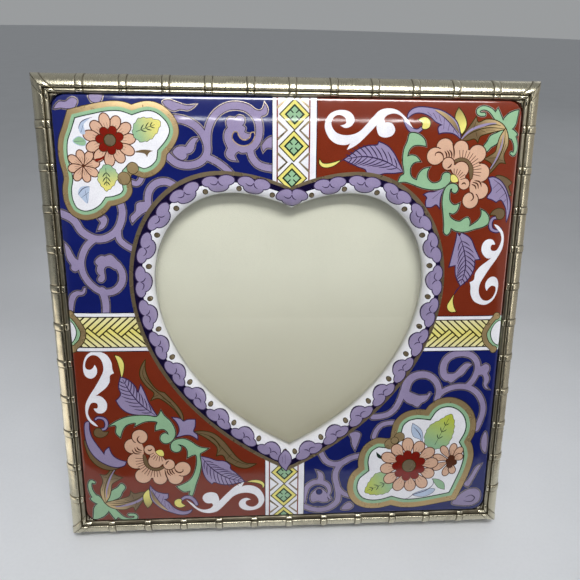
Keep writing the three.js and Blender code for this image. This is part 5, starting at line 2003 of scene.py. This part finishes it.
def glow_paint(stage, name, strength):
    paint, tree, shader = new_material(name)
    sheet = effect(tree, "mottle", Colour=rgba(stage.glow), Second=rgba(stage.floor), **CARD_MOTTLE)
    feed(tree, shader, Emission_Color=sheet["Colour"], Emission_Strength=strength)
    shader.inputs["Base Color"].default_value = rgba(stage.dark)
    return paint


def add_glow_cards(stage):
    """Bright slopes at both sides for the shine along the rails, and a slim one for the panel's edge."""
    for name, side, (near, far), strength, cover in GLOW_CARDS:
        foot, top = np.array(GLOW_EDGES) * (side, 1)
        head = foot + cover * (top - foot)
        corners = [(foot, near), (head, near), (head, far), (foot, far)]
        paint = glow_paint(stage, name, strength)
        add_gloss_card(name, [(across, depth, high) for (across, high), depth in corners], paint)
    foot, head = np.array(EDGE_GLOW)
    corners = [foot - EDGE_GLOW_HALF, foot + EDGE_GLOW_HALF, head + EDGE_GLOW_HALF, head - EDGE_GLOW_HALF]
    add_gloss_card("edge_glow", corners, glow_paint(stage, "edge_glow", EDGE_GLOW_STRENGTH))


def add_floor(stage):
    """Pale floor with painted shade that darkens it a little behind the frame."""
    paint, tree, shader = new_material("pale_floor")
    far = tuple(FLOOR_FAR_SHADE * value for value in stage.floor)
    depth = node(tree, "ShaderNodeSeparateXYZ", {0: object_place(tree)}).outputs["Y"]
    shaded_sweep = blend_colours(tree, span(tree, depth, *FLOOR_SHADE_FADE), rgba(stage.floor), rgba(far))
    shade = blend_colours(tree, 1.0, shaded_sweep, FLOOR_SHADE, "MULTIPLY")
    sizes = {"Patch_scale": 25.0, "Speck_scale": 900.0, "Patches": 0.5, "Specks": 0.3}
    paper = effect(tree, "mottle", Colour=shaded_sweep, Second=shade, **sizes)
    weave = {"Scale": 900.0, "Detail": 3.0, "Strength": 0.2, "Depth": 0.0002}
    matte_finish(tree, shader, paper["Colour"], FLOOR_ROUGHNESS, **weave)
    shape = bmesh.new()
    bmesh.ops.create_circle(shape, cap_ends=True, segments=FLOOR_SIDES, radius=FLOOR_REACH)
    add_sheet("pale_floor", shape, paint).location.z = -FLOOR_DROP


def add_lamps(stage):
    key_spot, key_aim, strip_aim = (PLACE @ Vector(spot) for spot in (KEY_SPOT, KEY_AIM, STRIP_AIM))
    area_lamp("key_soft", key_spot, key_aim, KEY_SIZE, stage.key_light, KEY_SPREAD)
    area_lamp("back_soft", BACK_SPOT, BACK_AIM, BACK_SIZE, stage.back_light)
    area_lamp("front_soft", FRONT_SPOT, FRONT_AIM, FRONT_SIZE, stage.front_light, FRONT_SPREAD)
    for side, share in SIDE_SHARES.items():
        spot = Vector(SIDE_SPOT) * Vector((side, 1, 1))
        area_lamp("side_soft", spot, SIDE_AIM, SIDE_SIZE, share * stage.side_light)
    ends = in_row([STRIP_FROM, STRIP_TO])
    size = ((ends[1] - ends[0])[0], STRIP_HIGH)
    area_lamp("strip", Vector(ends.mean(axis=0)), strip_aim, size, stage.strip_light)


def add_camera(stage):
    """Camera at the photograph's place, rolled a little about its line of sight."""
    data = bpy.data.cameras.new("photo_camera")
    data.lens = stage.lens
    data.sensor_width = SENSOR_WIDTH
    data.clip_start = CLIP_START
    camera = add_object("photo_camera", data)
    eye, target = PLACE @ Vector(CAMERA_EYE), PLACE @ Vector(CAMERA_AIM)
    ahead = (target - eye).normalized()
    right = ahead.cross(PLACE.to_3x3() @ Vector((0, 1, 0))).normalized()
    above = right.cross(ahead)
    cos, sin = math.cos(stage.roll), math.sin(stage.roll)
    pose = Matrix((cos * right + sin * above, cos * above - sin * right, -ahead)).transposed().to_4x4()
    pose.translation = eye
    camera.matrix_world = pose
    bpy.context.scene.camera = camera


def make_stage(stage):
    bpy.context.scene.view_settings.view_transform = "Standard"
    add_floor(stage)
    add_dark_card(stage)
    add_glow_cards(stage)
    bpy.context.scene.world = room_world()
    add_lamps(stage)
    add_camera(stage)


# Operators and panel
class HEARTFRAME_OT_rails(bpy.types.Operator):
    """Make the four silvered rails with their ribbon bands"""

    bl_idname = "heart_frame.rails"
    bl_label = "Rails"

    def execute(self, context):
        make_rails(context.scene.heart_rails)
        return {"FINISHED"}


class HEARTFRAME_OT_solder(bpy.types.Operator):
    """Make the solder fillets in the inner corners"""

    bl_idname = "heart_frame.solder"
    bl_label = "Solder fillets"

    def execute(self, context):
        make_solder(context.scene.heart_rails)
        return {"FINISHED"}


class HEARTFRAME_OT_enamel(bpy.types.Operator):
    """Make the painted enamel panel"""

    bl_idname = "heart_frame.enamel"
    bl_label = "Enamel panel"

    def execute(self, context):
        make_panel(context.scene.heart_enamel)
        return {"FINISHED"}


class HEARTFRAME_OT_glazing(bpy.types.Operator):
    """Make the glass pane and the card behind it"""

    bl_idname = "heart_frame.glazing"
    bl_label = "Glass and card"

    def execute(self, context):
        make_glazing(context.scene.heart_glazing)
        return {"FINISHED"}


class HEARTFRAME_OT_back(bpy.types.Operator):
    """Make the velvet board and the velvet strut"""

    bl_idname = "heart_frame.back"
    bl_label = "Velvet back"

    def execute(self, context):
        make_back(context.scene.heart_back)
        return {"FINISHED"}


class HEARTFRAME_OT_hinge(bpy.types.Operator):
    """Make the strut's brass hinge and its rivets"""

    bl_idname = "heart_frame.hinge"
    bl_label = "Hinge"

    def execute(self, context):
        make_hinge(context.scene.heart_hardware)
        return {"FINISHED"}


class HEARTFRAME_OT_buttons(bpy.types.Operator):
    """Make the turn buttons and their screws"""

    bl_idname = "heart_frame.buttons"
    bl_label = "Turn buttons"

    def execute(self, context):
        make_buttons(context.scene.heart_hardware)
        return {"FINISHED"}


class HEARTFRAME_OT_stage(bpy.types.Operator):
    """Make the floor, the lamps and the camera"""

    bl_idname = "heart_frame.stage"
    bl_label = "Stage"

    def execute(self, context):
        make_stage(context.scene.heart_stage)
        return {"FINISHED"}


OPERATORS = (
    HEARTFRAME_OT_rails,
    HEARTFRAME_OT_solder,
    HEARTFRAME_OT_enamel,
    HEARTFRAME_OT_glazing,
    HEARTFRAME_OT_back,
    HEARTFRAME_OT_hinge,
    HEARTFRAME_OT_buttons,
    HEARTFRAME_OT_stage,
)


class HEARTFRAME_PT_sidebar(bpy.types.Panel):
    """Steps that dress the heart frame, and their settings"""

    bl_idname = "HEARTFRAME_PT_sidebar"
    bl_label = "Heart Frame"
    bl_space_type = "VIEW_3D"
    bl_region_type = "UI"
    bl_category = "Heart Frame"

    def draw(self, context):
        for operator in OPERATORS:
            self.layout.operator(operator.bl_idname)
        for name, settings in SETTINGS.items():
            box = self.layout.box()
            for key in settings.__annotations__:
                box.prop(getattr(context.scene, name), key)


def register():
    for settings in SETTINGS.values():
        bpy.utils.register_class(settings)
    for name, settings in SETTINGS.items():
        setattr(bpy.types.Scene, name, bpy.props.PointerProperty(type=settings))
    for operator in OPERATORS:
        bpy.utils.register_class(operator)
    bpy.utils.register_class(HEARTFRAME_PT_sidebar)


def unregister():
    bpy.utils.unregister_class(HEARTFRAME_PT_sidebar)
    for operator in reversed(OPERATORS):
        bpy.utils.unregister_class(operator)
    for name in SETTINGS:
        delattr(bpy.types.Scene, name)
    for settings in SETTINGS.values():
        bpy.utils.unregister_class(settings)


def main():
    register()
    for step in OPERATORS:
        group, name = step.bl_idname.split(".")
        getattr(getattr(bpy.ops, group), name)()


if __name__ == "__main__":
    main()
